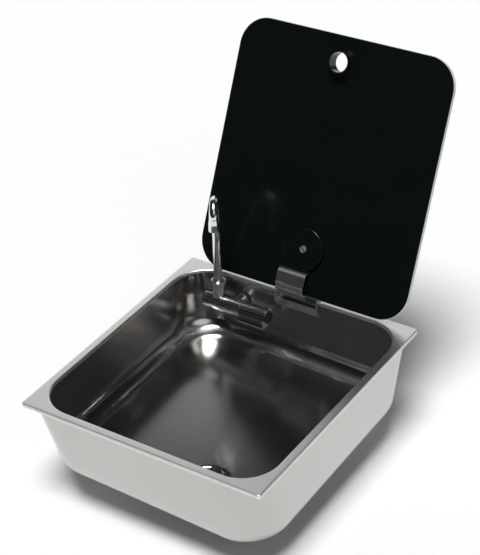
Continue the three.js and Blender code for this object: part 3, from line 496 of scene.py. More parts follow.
# %% Rim
bowl_high = box_of("sink_bowl")[1]
RIM_TOP = bowl_high.z / MM
HALF_X = bowl_high.x / MM
HALF_Y = bowl_high.y / MM
RIM_CORNER = 5
RIM_WIDTH = 11
LIP_ROUND = 1.6
LIP_ROUND_STEPS = 4
SHEET = 1
RIM_SHEET = 0.8
OPENING_CORNER = 60
OPENING_BEND = 3
OPENING_BEND_STEPS = 6
SKIRT_HEIGHT = 4.8
LIP_STEPS = [(0.0, 0.0), (0.0, 1.9), (0.8, 2.2), (0.8, 3.2), (0.1, 3.5)]  # inset, height


def rim_loops(bm):
    loops = []
    for inset, height in LIP_STEPS:
        loops.append(rounded_loop(bm, HALF_X - inset, HALF_Y - inset, RIM_CORNER - inset, height))
    for i in range(LIP_ROUND_STEPS + 1):
        angle = math.radians(90 * i / LIP_ROUND_STEPS)
        inset = 0.1 + LIP_ROUND * (1 - math.cos(angle))
        z = RIM_TOP - LIP_ROUND * (1 - math.sin(angle))
        loops.append(rounded_loop(bm, HALF_X - inset, HALF_Y - inset, RIM_CORNER - inset, z))
    for i in range(OPENING_BEND_STEPS + 1):
        angle = math.radians(90 * i / OPENING_BEND_STEPS)
        inset = RIM_WIDTH + OPENING_BEND * math.sin(angle)
        z = RIM_TOP - OPENING_BEND * (1 - math.cos(angle))
        corner = OPENING_CORNER - OPENING_BEND * math.sin(angle)
        loops.append(rounded_loop(bm, HALF_X - inset, HALF_Y - inset, corner, z))
    inset = RIM_WIDTH + OPENING_BEND
    foot = RIM_TOP - SKIRT_HEIGHT
    corner = OPENING_CORNER - OPENING_BEND
    loops.append(rounded_loop(bm, HALF_X - inset, HALF_Y - inset, corner, foot))
    return loops


REAR_FROM = 190 * MM  # only the rim's rear side lies behind this


def cut_rear(bm, place, normal):
    """Cuts the rear side of the rim along a plane."""
    rear = [f for f in bm.faces if f.calc_center_median().y > REAR_FROM]
    geom = set(rear)
    for f in rear:
        geom.update(f.edges)
        geom.update(f.verts)
    bmesh.ops.bisect_plane(bm, geom=list(geom), plane_co=place, plane_no=normal)


def notch_for_hinge(bm):
    """Cuts the rear edge of the opening away where the hinge's barrel turns."""
    low, high = box_of("hinge_pin")
    side = high.x + 0.8 * MM
    behind = high.y + 1.4 * MM
    for x in (-side, side):
        cut_rear(bm, (x, 0, 0), (1, 0, 0))
    cut_rear(bm, (0, behind, 0), (0, 1, 0))
    gone = [
        f
        for f in bm.faces
        if abs(f.calc_center_median().x) < side and REAR_FROM < f.calc_center_median().y < behind
    ]
    bmesh.ops.delete(bm, geom=gone, context="FACES")


def make_rim():
    bm = bmesh.new()
    loft(bm, rim_loops(bm))
    notch_for_hinge(bm)
    made = piece("rim_frame", bm, [RIM_STEEL], "bowl", ["sink_bowl"], 40, recalc=False)
    wall = made.modifiers.new("sheet", "SOLIDIFY")
    wall.thickness = RIM_SHEET * MM
    wall.offset = -1
    return made


make_rim()


# %% [markdown]
# The bowl hangs under the rim. Its walls are almost upright, its corners tighten from 73 mm at the foot
# of the walls to 27 mm under the rim, and the floor falls to the front and right, towards the waste. It
# is a skin of bridged loops: from the waste hole through the dish, across the floor, up the fillet and
# the walls. Solidify then gives the sheet its thickness on the outside.

# %% Bowl
FLOOR_DEPTH = 124
WALL_SETBACK = 8
WALL_DRAFT = math.radians(0.5)
WALL_TOP_CORNER = 27
WALL_FOOT_CORNER = 73
FLOOR_FILLET = 32
FLOOR_FALL_X = -0.045
FLOOR_FALL_Y = 0.031
FILLET_STEPS = 12
WALL_STEPS = 8
FLOOR_Z = RIM_TOP - FLOOR_DEPTH
WASTE = middle_of("waste_flange") / MM
WASTE_HOLE = 22
DISH_RADIUS = 37
DISH_DEPTH = 5
DISH_REACH = 2.2  # where the dish's edge has run out into the floor
HOLDING = 4  # width of the flat bands that keep the floor's shading flat


def fall(x, y, z):
    """How far a point of the bowl moves so that the floor falls to one corner."""
    return (FLOOR_FALL_X * x + FLOOR_FALL_Y * y) * max(0, -z) / (FLOOR_DEPTH - RIM_TOP)


def wall_inset(z):
    return WALL_SETBACK + (RIM_TOP - z) * math.tan(WALL_DRAFT)


def bowl_loops(bm):
    foot = FLOOR_Z + FLOOR_FILLET * (1 - math.sin(WALL_DRAFT))
    inset = wall_inset(foot) + FLOOR_FILLET * math.cos(WALL_DRAFT) + HOLDING
    corner = WALL_FOOT_CORNER - FLOOR_FILLET - HOLDING
    loops = [rounded_loop(bm, HALF_X - inset, HALF_Y - inset, corner, FLOOR_Z)]
    for i in range(FILLET_STEPS, 0, -1):
        angle = WALL_DRAFT + (math.pi / 2 - WALL_DRAFT) * i / FILLET_STEPS
        inwards = FLOOR_FILLET * (math.cos(WALL_DRAFT) - math.cos(angle))
        inset = wall_inset(foot) + inwards
        z = FLOOR_Z + FLOOR_FILLET * (1 - math.sin(angle))
        corner = WALL_FOOT_CORNER - inwards
        loops.append(rounded_loop(bm, HALF_X - inset, HALF_Y - inset, corner, z))
    for i in range(WALL_STEPS + 1):
        share = i / WALL_STEPS
        z = foot + (RIM_TOP - SHEET - foot) * share
        corner = WALL_FOOT_CORNER + (WALL_TOP_CORNER - WALL_FOOT_CORNER) * share
        inset = wall_inset(z)
        loops.append(rounded_loop(bm, HALF_X - inset, HALF_Y - inset, corner, z))
    return loops


def dish_loops(bm):
    floor_here = FLOOR_Z + fall(WASTE.x, WASTE.y, FLOOR_Z)
    bottom = floor_here - DISH_DEPTH
    profile = [
        (WASTE_HOLE, bottom),
        (DISH_RADIUS - 4, bottom),
        (DISH_RADIUS - 2.6, bottom + 0.5),
        (DISH_RADIUS - 0.6, floor_here - 0.9),
        (DISH_RADIUS + 0.8, floor_here - 0.1),
    ]
    loops = [round_loop(bm, WASTE, r, z) for r, z in profile]
    for reach in (DISH_REACH, DISH_REACH + HOLDING):
        rim = round_loop(bm, WASTE, DISH_RADIUS + reach, FLOOR_Z)
        for v in rim:
            v.co.z = (FLOOR_Z + fall(v.co.x / MM, v.co.y / MM, FLOOR_Z)) * MM
        loops.append(rim)
    return loops


def make_bowl():
    bm = bmesh.new()
    loops = bowl_loops(bm)
    for v in bm.verts:
        v.co.z += fall(v.co.x / MM, v.co.y / MM, v.co.z / MM) * MM
    loft(bm, dish_loops(bm) + loops)
    made = piece("bowl_shell", bm, [STEEL], "bowl", ["sink_bowl"], 60, recalc=False)
    wall = made.modifiers.new("sheet", "SOLIDIFY")
    wall.thickness = SHEET * MM
    wall.offset = 1
    return made


make_bowl()


# %% [markdown]
# Turned pieces are spun: the buffers, the grommet, the disc with its screw and nut, and most of the tap.
# A profile is a row of [radius, height] corners. Its sharp corners are bevelled before the spin, as a
# lathe tool breaks an edge, and each piece is then laid along its own axis.

# %% Helper for turned pieces
def spun(profile, start, along, closed=False, edge=0.25, steps=72):
    """A bmesh of a profile turned about an axis that begins at start and points along."""
    bm = bmesh.new()
    verts = [bm.verts.new((r * MM, 0, h * MM)) for r, h in profile]
    pairs = list(zip(verts, verts[1:])) + ([(verts[-1], verts[0])] if closed else [])
    for a, b in pairs:
        bm.edges.new((a, b))
    inner = [v for v in verts if len(v.link_edges) == 2 and v.co.x > 1e-6]
    if edge:
        bmesh.ops.bevel(
            bm, geom=inner, offset=edge * MM, segments=3, profile=0.5, affect="VERTICES", material=-1
        )
    bmesh.ops.spin(
        bm,
        geom=bm.verts[:] + bm.edges[:],
        cent=(0, 0, 0),
        axis=(0, 0, 1),
        angle=2 * math.pi,
        steps=steps,
        use_merge=True,
    )
    bmesh.ops.remove_doubles(bm, verts=bm.verts, dist=0.001 * MM)
    tilt = Vector((0, 0, 1)).rotation_difference(Vector(along)).to_matrix().to_4x4()
    bmesh.ops.transform(bm, matrix=Matrix.Translation(start) @ tilt, verts=bm.verts)
    return bm


# %% [markdown]
# Two rubber buffers on the front wall carry the closed lid. They reach almost 8 mm further into the bowl
# than their solids, because the right one shows that far over the front edge in the photograph.

# %% Lid buffers
BUFFER_RADIUS = 9
BUFFER_LENGTH = 22
BUFFER_EDGE = 1.5
BUFFER_LEVEL = -8  # height at which the wall is found for the buffers' backs
for side in ("left", "right"):
    low, high = box_of("lid_buffer_" + side)
    wall_y = -(HALF_Y - wall_inset(BUFFER_LEVEL)) * MM
    start = Vector(((low.x + high.x) / 2, wall_y, high.z - BUFFER_RADIUS * MM))
    profile = [
        (0, BUFFER_LENGTH),
        (BUFFER_RADIUS - BUFFER_EDGE, BUFFER_LENGTH),
        (BUFFER_RADIUS, BUFFER_LENGTH - BUFFER_EDGE),
        (BUFFER_RADIUS, GAP),
        (0, GAP),
    ]
    bm = spun(profile, start, (0, 1, 0), edge=0.5)
    piece("buffer_" + side, bm, [RUBBER], "bowl", ["lid_buffer_" + side])


# %% [markdown]
# The lid turns about the hinge pin, so it is easiest to build closed, with the pin as its origin, and
# then to turn it open by one matrix.

# %% Lid
LID_OPEN = math.radians(-117)
pin = middle_of("hinge_pin")
LID_PLACE = Matrix.Translation(pin) @ Matrix.Rotation(LID_OPEN, 4, "X")
LID_LENGTH = 408
LID_CORNER = 48
LID_REAR = -4
LID_UNDER = -5
GLASS = 6
LID_HALF = box_of("lid_glass")[1].x / MM
FINGER = (-3, LID_REAR - 367)
FINGER_RADIUS = 15.5
GROMMET_WALL = 2.2


def make_lid():
    bm = bmesh.new()
    middle = LID_REAR - LID_LENGTH / 2
    chamfer = 0.7
    outside = [(chamfer, 0), (0, chamfer), (0, GLASS - chamfer), (chamfer, GLASS)]
    hole = FINGER_RADIUS + GROMMET_WALL + GAP
    loops = [round_loop(bm, FINGER, hole, LID_UNDER)]
    for inset, height in outside:
        half_length = LID_LENGTH / 2 - inset
        z = LID_UNDER + height
        loops.append(rounded_loop(bm, LID_HALF - inset, half_length, LID_CORNER - inset, z, middle))
    loops.append(round_loop(bm, FINGER, hole, LID_UNDER + GLASS))
    loops.append(loops[0])
    bands = loft(bm, loops)
    for band in bands[1:4]:
        for face in band:
            face.material_index = 1
    bmesh.ops.transform(bm, matrix=LID_PLACE, verts=bm.verts)
    return piece("glass_pane", bm, [LID_GLASS, GLASS_EDGE], "lid", ["lid_glass"], 20)


make_lid()


# %% [markdown]
# The finger hole is lined with a black plastic grommet. A flange covers the hole's edge on each face of
# the glass, and the tube reaches past the underside.

# %% Finger-hole grommet
FLANGE_REACH = 4
TUBE_BELOW = 13


def on_lid(x, y, z):
    return LID_PLACE @ Vector((x * MM, y * MM, z * MM))


def lid_axis():
    return LID_PLACE.to_3x3() @ Vector((0, 0, 1))


def make_grommet():
    outer = FINGER_RADIUS + GROMMET_WALL
    top = LID_UNDER + GLASS + GAP + 1.8
    under = LID_UNDER - GAP
    flange = outer + FLANGE_REACH
    profile = [
        (FINGER_RADIUS, top),
        (flange, top),
        (flange, top - 1.7),
        (outer, top - 1.7),
        (outer, under),
        (flange, under),
        (flange, under - 2),
        (outer, under - 2),
        (outer, under - TUBE_BELOW),
        (FINGER_RADIUS, under - TUBE_BELOW),
    ]
    bm = spun(profile, on_lid(*FINGER, 0), lid_axis(), closed=True, edge=0.4)
    nodes = ["finger_hole_grommet", "finger_hole_ring"]
    return piece("finger_grommet", bm, [POLISHED_PLASTIC], "lid", nodes)


make_grommet()


# %% [markdown]
# The tap lies along the rear wall. Its pieces share one axis along X: the elbow that carries the spout,
# the fixed body in the middle, and the knob. The elbow and the body are spun about it. Where they meet,
# each has a shallow step whose bottom is coloured black, painted shade, so that the seam shows as a line.
# The chamfer at the elbow's free end is black as well. A short port joins the body to the rear wall.

# %% Tap body and elbow
TAP_AXIS = middle_of("elbow_cap")
TAP_RADIUS = 14
ELBOW_LEFT = box_of("elbow_cap")[0].x / MM
BODY_LEFT = -125
BODY_RIGHT = -89
SEAM = 0.6
SEAM_EDGE = 0.5  # width of the step at each seam
SEAM_DEPTH = 1
# The black faces in these bands are painted shade in the seams; the wider band also takes in the end
# chamfer.
STEP_BOTTOM = (12.9, 13.2)  # distances from the tap's axis between which a face is made black
STEP_AND_CHAMFER = (11.4, 13.2)
ALONG_X = (1, 0, 0)
PORT_X = -107
STANDOFF = 26.5
PORT_RADIUS = 12
SHANK_RADIUS = 10
SHANK_END = STANDOFF + SHEET + 26
OUT_OF_REAR = (0, math.cos(WALL_DRAFT), -math.sin(WALL_DRAFT))
SPOUT_LEAN = math.radians(4)
SPOUT_PLACE = Matrix.Translation((0, TAP_AXIS.y, TAP_AXIS.z)) @ Matrix.Rotation(-SPOUT_LEAN, 4, "X")


def on_tap(x):
    return Vector((x * MM, TAP_AXIS.y, TAP_AXIS.z))


def paint_seam_shade(bm, low, high):
    """Gives the second material, black, to the faces this far from the tap's axis in millimetres: painted
    shade.
    """
    for face in bm.faces:
        middle = face.calc_center_median()
        reach = math.hypot(middle.y - TAP_AXIS.y, middle.z - TAP_AXIS.z) / MM
        if low < reach < high:
            face.material_index = 1


def make_tap_barrels():
    chamfer = 3
    elbow = [
        (0, ELBOW_LEFT),
        (TAP_RADIUS - chamfer, ELBOW_LEFT),
        (TAP_RADIUS, ELBOW_LEFT + chamfer),
        (TAP_RADIUS, BODY_LEFT - SEAM - SEAM_EDGE),
        (TAP_RADIUS - SEAM_DEPTH, BODY_LEFT - SEAM - SEAM_EDGE),
        (TAP_RADIUS - SEAM_DEPTH, BODY_LEFT - SEAM),
        (9, BODY_LEFT - SEAM),
        (9, BODY_LEFT - SEAM - 2),
        (0, BODY_LEFT - SEAM - 2),
    ]
    bm = spun(elbow, on_tap(0), ALONG_X, edge=0.2, steps=96)
    # Painted shade: the seam's step bottom and the end chamfer are black.
    paint_seam_shade(bm, *STEP_AND_CHAMFER)
    piece("elbow_barrel", bm, [CHROME, PLASTIC], "spout", ["elbow_cap", "spout_elbow"])
    body = [
        (0, BODY_LEFT),
        (TAP_RADIUS - SEAM_DEPTH, BODY_LEFT),
        (TAP_RADIUS - SEAM_DEPTH, BODY_LEFT + SEAM_EDGE),
        (TAP_RADIUS, BODY_LEFT + SEAM_EDGE),
        (TAP_RADIUS, BODY_RIGHT - SEAM_EDGE),
        (TAP_RADIUS - SEAM_DEPTH, BODY_RIGHT - SEAM_EDGE),
        (TAP_RADIUS - SEAM_DEPTH, BODY_RIGHT),
        (0, BODY_RIGHT),
    ]
    bm = spun(body, on_tap(0), ALONG_X, edge=0.2, steps=96)
    paint_seam_shade(bm, *STEP_BOTTOM)
    piece("body_barrel", bm, [CHROME, PLASTIC], "bowl", ["tap_body"])
    seat = STANDOFF - GAP
    port = [
        (0, 6),
        (PORT_RADIUS, 6),
        (PORT_RADIUS, seat),
        (SHANK_RADIUS, seat),
        (SHANK_RADIUS, SHANK_END),
        (0, SHANK_END),
    ]
    bm = spun(port, on_tap(PORT_X), OUT_OF_REAR, edge=0.4)
    piece("tap_port", bm, [CHROME], "bowl")


make_tap_barrels()

# %% [markdown]
# The knob is a ribbed bar. It starts as a cylinder with eight points to each rib and groove: the points
# of a rib are pushed out, and the lower front is drawn to a wing, which is the lever. The grooves that
# face the camera are coloured black, painted shade, so that the ribs show as lines.

# %% Knob
KNOB_LEFT = BODY_RIGHT + SEAM
KNOB_RIGHT = -42.5
KNOB_CORE = 13
KNOB_RIBS = 14
KNOB_RIB = 1.2
RIB_POINTS = 8
RIB_SHARE = 5  # of the eight points, how many stand out
WING_REACH = 21
WING_ANGLE = 215
WING_SPREAD = 50
# Painted shade: only the grooves on the side that faces the camera are black.
SHADED_GROOVE_ANGLES = (120, 205)  # between these angles the grooves are black


def round_the_knob(point, middle):
    """The angle of a point round the knob, in degrees, and its place within a rib and groove, 0 to 8."""
    turned = math.degrees(math.atan2(point.z - middle.z, point.y - middle.y)) % 360
    return turned, turned / (360 / KNOB_RIBS) * RIB_POINTS


def make_knob():
    """A ribbed bar: a cylinder whose ribs are pushed out and whose lower front is drawn to a wing."""
    bm = bmesh.new()
    length = KNOB_RIGHT - KNOB_LEFT
    lay = Matrix.Rotation(math.radians(90), 4, "Y")
    middle = on_tap((KNOB_LEFT + KNOB_RIGHT) / 2)
    made = bmesh.ops.create_cone(
        bm,
        cap_ends=True,
        segments=RIB_POINTS * KNOB_RIBS,
        radius1=KNOB_CORE * MM,
        radius2=KNOB_CORE * MM,
        depth=length * MM,
        matrix=Matrix.Translation(middle) @ lay,
    )
    for v in bm.verts:
        turned, place = round_the_knob(v.co, middle)
        aside = abs((turned - WING_ANGLE + 180) % 360 - 180)
        wing = max(0, 1 - aside / WING_SPREAD) * (WING_REACH - KNOB_CORE)
        rib = KNOB_RIB if int(place + 0.5) % RIB_POINTS < RIB_SHARE else 0
        reach = (KNOB_CORE + wing + rib) / KNOB_CORE
        v.co.y = middle.y + (v.co.y - middle.y) * reach
        v.co.z = middle.z + (v.co.z - middle.z) * reach
    ends = [e for e in bm.edges if abs(e.verts[0].co.x - e.verts[1].co.x) < 1e-6]
    bmesh.ops.bevel(
        bm, geom=ends, offset=0.4 * MM, segments=2, profile=0.5, affect="EDGES", material=-1
    )
    for face in bm.faces:
        turned, place = round_the_knob(face.calc_center_median(), middle)
        # Black grooves on the camera's side are painted shade.
        in_groove = abs(face.normal.x) < 0.5 and place % RIB_POINTS > RIB_SHARE
        if in_groove and SHADED_GROOVE_ANGLES[0] < turned < SHADED_GROOVE_ANGLES[1]:
            face.material_index = 1
    piece("knob_grip", bm, [CHROME, PLASTIC], "knob", ["tap_knob"], 30)


make_knob()

# %% [markdown]
# The spout stands on the elbow by a short foot. A collar with a raised bead near its top covers the
# tube's lower end.

# %% Spout foot and collar
COLLAR_X = -136.5
COLLAR_TOP = 41
COLLAR_RADIUS = 10.5
STUB_RADIUS = 9.4
STUB_TOP = 17
TUBE_RADIUS = 7


def make_collar():
    start = Vector((COLLAR_X * MM, 0, 0))
    foot = [(0, 6), (STUB_RADIUS, 6), (STUB_RADIUS, STUB_TOP + 0.2), (0, STUB_TOP + 0.2)]
    bm = spun(foot, start, (0, 0, 1))
    bmesh.ops.transform(bm, matrix=SPOUT_PLACE, verts=bm.verts)
    piece("spout_foot", bm, [CHROME], "spout")
    top = COLLAR_TOP
    profile = [
        (TUBE_RADIUS + 0.2, STUB_TOP + GAP),
        (COLLAR_RADIUS, STUB_TOP + GAP),
        (COLLAR_RADIUS, top - 3.2),
        (COLLAR_RADIUS + 1, top - 2.6),
        (COLLAR_RADIUS + 1, top - 0.6),
        (COLLAR_RADIUS - 0.4, top),
        (TUBE_RADIUS + 0.2, top),
    ]
    bm = spun(profile, start, (0, 0, 1), closed=True, edge=0.3)
    bmesh.ops.transform(bm, matrix=SPOUT_PLACE, verts=bm.verts)
    piece("collar_sleeve", bm, [CHROME], "spout", ["spout_collar"])


make_collar()

# %% [markdown]
# The spout is a bent tube: a circle, pushed straight up, then spun half a turn about a level axis.

# %% Spout tube
ARCH_RADIUS = 20
ARCH_TOP = 193
TUBE_SEAT = 19
SPOUT_TURN = math.radians(29.5)


def make_tube():
    bm = bmesh.new()
    centre = Vector((COLLAR_X * MM, 0, 0))
    foot = TUBE_SEAT * MM
    arch_z = (ARCH_TOP - ARCH_RADIUS) * MM
    ring = bmesh.ops.create_circle(
        bm, segments=48, radius=TUBE_RADIUS * MM, matrix=Matrix.Translation((centre.x, centre.y, foot))
    )
    edges = list({e for v in ring["verts"] for e in v.link_edges})
    made = bmesh.ops.extrude_edge_only(bm, edges=edges)
    top = [g for g in made["geom"] if isinstance(g, bmesh.types.BMVert)]
    bmesh.ops.translate(bm, vec=(0, 0, arch_z - foot), verts=top)
    edges = [g for g in made["geom"] if isinstance(g, bmesh.types.BMEdge)]
    forward = Vector((math.sin(SPOUT_TURN), -math.cos(SPOUT_TURN), 0))
    axis = Vector((0, 0, 1)).cross(forward)
    bmesh.ops.spin(
        bm,
        geom=top + edges,
        cent=Vector((centre.x, centre.y, arch_z)) + forward * ARCH_RADIUS * MM,
        axis=axis,
        angle=math.pi,
        steps=40,
    )
    bmesh.ops.transform(bm, matrix=SPOUT_PLACE, verts=bm.verts)
    return piece("spout_pipe", bm, [CHROME], "spout", ["spout_tube"])


make_tube()


# %% [markdown]
# The nozzle is a sleeve on the tube's end, a little wider than the tube. Its mouth is recessed for the
# aerator.

# %% Spout nozzle
NOZZLE_LENGTH = 20.5
NOZZLE_RADIUS = 8.2
MOUTH_WALL = 1.4


def make_nozzle():
    reach = 2 * ARCH_RADIUS
    centre = Vector((COLLAR_X + reach * math.sin(SPOUT_TURN), -reach * math.cos(SPOUT_TURN), 0)) * MM
    top = ARCH_TOP - ARCH_RADIUS
    foot = top - NOZZLE_LENGTH
    profile = [
        (0, top),
        (TUBE_RADIUS, top),
        (TUBE_RADIUS + 0.1, top - 0.5),
        (NOZZLE_RADIUS, top - 8),
        (NOZZLE_RADIUS, foot),
        (NOZZLE_RADIUS - MOUTH_WALL, foot),
        (NOZZLE_RADIUS - MOUTH_WALL, foot + 1.5),
        (0, foot + 1.5),
    ]
    bm = spun(profile, centre, (0, 0, 1), edge=0.5)
    bmesh.ops.transform(bm, matrix=SPOUT_PLACE, verts=bm.verts)
    piece("nozzle_shell", bm, [CHROME], "spout", ["spout_nozzle"])


make_nozzle()


# %% [markdown]
# The hinge arm is a strip of steel bent to a goose neck: from the pin it dips under the rear edge of
# the closed lid and comes up to the glass. Its middle line is extruded along X to a ribbon, which
# Solidify makes a strip. The flat part on the glass is coloured black like the disc: a painted dark
# reflection, where the steel would mirror the dark studio. A short barrel at the foot turns on the pin.

# %% Hinge arm
arm_low, arm_high = box_of("hinge_arm")
ARM_THICKNESS = 2
ARM_EDGE = 0.35
PAD_THICKNESS = 1
ARM_FOOT = Vector((-5.2, -12.2))
ARM_LEVEL = LID_UNDER - GAP - PAD_THICKNESS - GAP - ARM_THICKNESS / 2
CLAMP_Y = LID_REAR - 72
NECK_DROP = -17
NECK_END = 30.5
NECK_STEPS = 12
BARREL_BORE = 2.3
BARREL_RADIUS = 3.2
BARREL_LENGTH = 50


def arm_line():
    """The arm's middle line as (y, z) in the closed lid's frame, in millimetres."""
    line = [ARM_FOOT.normalized() * 2.8, ARM_FOOT * 0.8]
    line += [Vector((-6.6, -13.4)), Vector((-10, -15.6)), Vector((-14, -16.6)), Vector((-19, NECK_DROP))]
    radius = ARM_LEVEL - NECK_DROP
    for i in range(NECK_STEPS + 1):
        angle = math.radians(90 * i / NECK_STEPS)
        reach = NECK_END + radius * math.sin(angle)
        line.append(Vector((-reach, ARM_LEVEL - radius * math.cos(angle))))
    line.append(Vector((CLAMP_Y - 17, ARM_LEVEL)))
    return line


def make_arm():
    bm = bmesh.new()
    verts = [bm.verts.new((arm_low.x, p.x * MM, p.y * MM)) for p in arm_line()]
    edges = [bm.edges.new(pair) for pair in zip(verts, verts[1:])]
    made = bmesh.ops.extrude_edge_only(bm, edges=edges)
    moved = [g for g in made["geom"] if isinstance(g, bmesh.types.BMVert)]
    bmesh.ops.translate(bm, vec=(arm_high.x - arm_low.x, 0, 0), verts=moved)
    # Painted dark reflection: the flat end of the steel strip is black.
    flat = min(bm.faces, key=lambda face: face.calc_center_median().y)
    flat.material_index = 1
    bmesh.ops.transform(bm, matrix=LID_PLACE, verts=bm.verts)
    made = piece("arm_strip", bm, [HINGE_STEEL, POLISHED_PLASTIC], "lid", ["hinge_arm"], 60)
    wall = made.modifiers.new("sheet", "SOLIDIFY")
    wall.thickness = ARM_THICKNESS * MM
    wall.offset = 0
    edge = made.modifiers.new("edge", "BEVEL")
    edge.width = ARM_EDGE * MM
    edge.segments = 2
    barrel = [
        (BARREL_BORE, 0),
        (BARREL_RADIUS, 0),
        (BARREL_RADIUS, BARREL_LENGTH),
        (BARREL_BORE, BARREL_LENGTH),
    ]
    start = Vector((arm_low.x, pin.y, pin.z))
    piece("arm_barrel", spun(barrel, start, ALONG_X, closed=True), [HINGE_STEEL], "lid")


make_arm()


# %% [markdown]
# The arm is clamped to the glass by a black disc on one face and a chrome cap nut on the other. The
# disc has a shallow recess for the screw's head.

# %% Clamping disc and nut
DISC_RADIUS = 34
DISC_THICKNESS = 3
RECESS_DEPTH = 1.6
DISC_TOP = ARM_LEVEL - ARM_THICKNESS / 2 - GAP
DISC_BOTTOM = DISC_TOP - DISC_THICKNESS
RECESS = DISC_BOTTOM + RECESS_DEPTH


def make_disc():
    profile = [
        (0, DISC_TOP),
        (DISC_RADIUS, DISC_TOP),
        (DISC_RADIUS, DISC_BOTTOM + 0.6),
        (DISC_RADIUS - 0.8, DISC_BOTTOM),
        (7, DISC_BOTTOM),
        (6.6, RECESS),
        (0, RECESS),
    ]
    start = on_lid(0, CLAMP_Y, 0)
    disc = spun(profile, start, lid_axis(), edge=0.3, steps=96)
    piece("clamp_disc", disc, [POLISHED_PLASTIC], "lid", ["hinge_disc"])
    nut = LID_UNDER + GLASS + GAP
    dome = [(0, nut), (9, nut), (9, nut + 2), (6, nut + 4), (0, nut + 4)]
    cap = spun(dome, start, lid_axis(), edge=0.5)
    piece("cap_nut", cap, [CHROME], "lid", ["hinge_cap_nut"])


make_disc()


# %% [markdown]
# The screw that clamps the disc has a plain slotted head. The head is spun, two planes cut a strip out
# of its face, and the strip is pushed in to make the slot, whose bottom is coloured black: painted shade.

# %% Clamping screw
HEAD_RADIUS = 5.5
HEAD_HEIGHT = 2
SLOT_TURN = math.radians(-40)
SLOT_WIDTH = 2.2
SLOT_DEPTH = 1.5


def make_screw():
    head = RECESS - GAP
    face_z = head - HEAD_HEIGHT
    profile = [(0, head), (HEAD_RADIUS, head), (HEAD_RADIUS, face_z), (0, face_z)]
    bm = spun(profile, Vector((0, 0, 0)), (0, 0, 1), edge=0.3, steps=48)
    across = Matrix.Rotation(SLOT_TURN, 4, "Z") @ Vector((1, 0, 0))
    for side in (-1, 1):
        geom = bm.verts[:] + bm.edges[:] + bm.faces[:]
        cut = across * side * SLOT_WIDTH / 2 * MM
        bmesh.ops.bisect_plane(bm, geom=geom, plane_co=cut, plane_no=across)
    strip = [
        f
        for f in bm.faces
        if abs(f.calc_center_median().dot(across)) < SLOT_WIDTH / 2 * MM
        and f.calc_center_median().z < (face_z + 0.1) * MM
    ]
    made = bmesh.ops.extrude_face_region(bm, geom=strip)
    moved = [g for g in made["geom"] if isinstance(g, bmesh.types.BMVert)]
    bmesh.ops.translate(bm, vec=(0, 0, SLOT_DEPTH * MM), verts=moved)
    bmesh.ops.delete(bm, geom=strip, context="FACES_ONLY")
    # The slot's bottom is black: painted shade.
    for face in (g for g in made["geom"] if isinstance(g, bmesh.types.BMFace)):
        face.material_index = 1
    place = LID_PLACE @ Matrix.Translation((0, CLAMP_Y * MM, 0))
    bmesh.ops.transform(bm, matrix=place, verts=bm.verts)
    piece("clamp_screw", bm, [SCREW_STEEL, PLASTIC], "lid", ["hinge_screw"])


make_screw()


# %% [markdown]
# Long faces next to a small bevel pick up a little of the bevel's slope at their ends, and polished
# metal shows that as a smear. Weighting each corner's normal by the size of its faces cures it, so the
# flat floor stays a flat mirror. It comes last on every piece, after the sheet has its thickness.

# %% Clean shading
for made in PIECES:
    shading = made.modifiers.new("weighted_normals", "WEIGHTED_NORMAL")
    shading.keep_sharp = True
print("pieces with weighted normals:", len(PIECES))

# %% [markdown]
# The other CAD nodes have their right shape already and only need their finish.

# %% Finishes of the CAD nodes
FINISHES = {
    "rim_seal": RUBBER,
    "waste_flange": STEEL,
    "waste_upper_seal": RUBBER,
    "waste_lower_seal": RUBBER,
    "waste_body": PLASTIC,
    "waste_bolt": SCREW_STEEL,
    "hinge_pad": RUBBER,
    "hinge_bracket": HINGE_STEEL,
    "hinge_pin": SCREW_STEEL,
    "hinge_bush": PLASTIC,
    "bracket_screw_left": HINGE_STEEL,
    "bracket_screw_right": HINGE_STEEL,
    "bracket_nut_left": SCREW_STEEL,
    "bracket_nut_right": SCREW_STEEL,
    "spigot_ring": RUBBER,
    "port_seal": RUBBER,
    "port_washer": SCREW_STEEL,
    "port_nut": BRASS,
    "collar_screw": CHROME,
    "aerator": PLASTIC,
    "valve_spindle": BRASS,
    "knob_cap": PLASTIC,
}
for name, material in FINISHES.items():
    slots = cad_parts[name].material_slots
    if not slots:
        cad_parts[name].data.materials.append(material)
    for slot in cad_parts[name].material_slots:
        slot.material = material
print("finished nodes:", len(FINISHES))

# %% [markdown]
# The photograph is a product shot on white. Polished steel shows whatever stands round it, so the
# studio matters as much as the finish. The sky here is almost black, which is what the inside of the
# bowl mirrors, with three soft round panels of white: a broad low one behind, for the rim, one beside
# the camera, and one overhead, for the top of the tap and the hinge. The outside of the bowl mirrors
# the pale floor.

# %% World
DARK_SKY = 0.01
# azimuth and elevation, the angles where a panel is full and where it ends, and its level
PANELS = [(216, 12, 26, 34, 1.0), (54, 36, 12, 22, 0.9), (90, 88, 8, 16, 0.9)]


def towards(azimuth, elevation):
    """The unit vector to a place in the studio: azimuth 0 is in front of the sink, 90 at its right."""
    a, e = math.radians(azimuth), math.radians(elevation)
    return Vector((math.sin(a) * math.cos(e), -math.cos(a) * math.cos(e), math.sin(e)))


def panel(tree, direction, azimuth, elevation, inner, outer, level):
    """A round bright patch of sky: full inside one angle, and gone outside another."""
    facing = node(
        tree, "ShaderNodeVectorMath", {0: direction, 1: towards(azimuth, elevation)}, operation="DOT_PRODUCT"
    )
    return node(
        tree,
        "ShaderNodeMapRange",
        {"Value": facing.outputs["Value"], "From Min": math.cos(math.radians(outer)),
         "From Max": math.cos(math.radians(inner)), "To Min": 0.0, "To Max": level},
        interpolation_type="SMOOTHSTEP",
    )


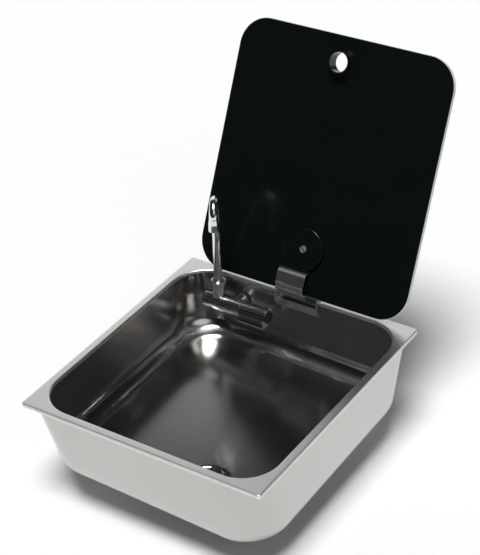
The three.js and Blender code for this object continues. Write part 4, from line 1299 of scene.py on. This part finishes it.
world = bpy.data.worlds.new("studio")
bpy.context.scene.world = world
world.use_nodes = True
tree = world.node_tree
tree.nodes.clear()
direction = node(tree, "ShaderNodeTexCoord").outputs["Generated"]
total = node(tree, "ShaderNodeValue")
total.outputs[0].default_value = DARK_SKY
for setting in PANELS:
    patch = panel(tree, direction, *setting)
    total = node(tree, "ShaderNodeMath", {0: total, 1: patch}, operation="ADD")
background = node(tree, "ShaderNodeBackground", {"Color": total, "Strength": 1.0})
node(tree, "ShaderNodeOutputWorld", {"Surface": background})
print("panels in the sky:", len(PANELS))


# %% [markdown]
# The object stands on pale paper, which takes its soft shadow. The paper's own colour, a very light
# matt grey, makes the pale background.

# %% Floor
FLOOR_HALF = 8.0  # metres, so that the paper fills the picture


def floor_material():
    made, tree = new_material("white_paper")
    place = node(tree, "ShaderNodeTexCoord").outputs["Object"]
    paper = node(tree, "ShaderNodeTexNoise", {"Vector": place, "Scale": 1 / (4 * MM), "Detail": 2.0})
    tone = ramp(tree, paper, [(0.3, 0.86), (0.7, 0.89)])
    shader = node(tree, "ShaderNodeBsdfPrincipled", {"Base Color": tone, "Roughness": 0.9})
    finish_material(tree, shader)
    return made


bm = bmesh.new()
floor_place = Matrix.Translation((0, 0, CAD_BOX[0][2] - 1 * MM))
bmesh.ops.create_grid(bm, x_segments=2, y_segments=2, size=FLOOR_HALF, matrix=floor_place)
mesh = bpy.data.meshes.new("floor")
bm.to_mesh(mesh)
bm.free()
mesh.materials.append(floor_material())
floor = bpy.data.objects.new("floor", mesh)
bpy.context.scene.collection.objects.link(floor)


# %% [markdown]
# One high, wide lamp does the lighting. A white surface that faces up needs about pi watts a square
# metre to render as white, and a lamp this wide leaves a soft edge on the shadow.

# %% Lamp
LAMP_AZIMUTH = 20
LAMP_ELEVATION = 76
LAMP_STRENGTH = 3.15
LAMP_WIDTH = math.radians(24)
LAMP_DISTANCE = 3  # metres; a sun lights the same from anywhere

softbox = bpy.data.lights.new("softbox", "SUN")
softbox.energy = LAMP_STRENGTH
softbox.angle = LAMP_WIDTH
lamp = bpy.data.objects.new("softbox", softbox)
bpy.context.scene.collection.objects.link(lamp)
place = towards(LAMP_AZIMUTH, LAMP_ELEVATION) * LAMP_DISTANCE
lamp.matrix_world = Matrix.Translation(place) @ place.to_track_quat("Z", "Y").to_matrix().to_4x4()
print("lamps:", len(bpy.data.lights))
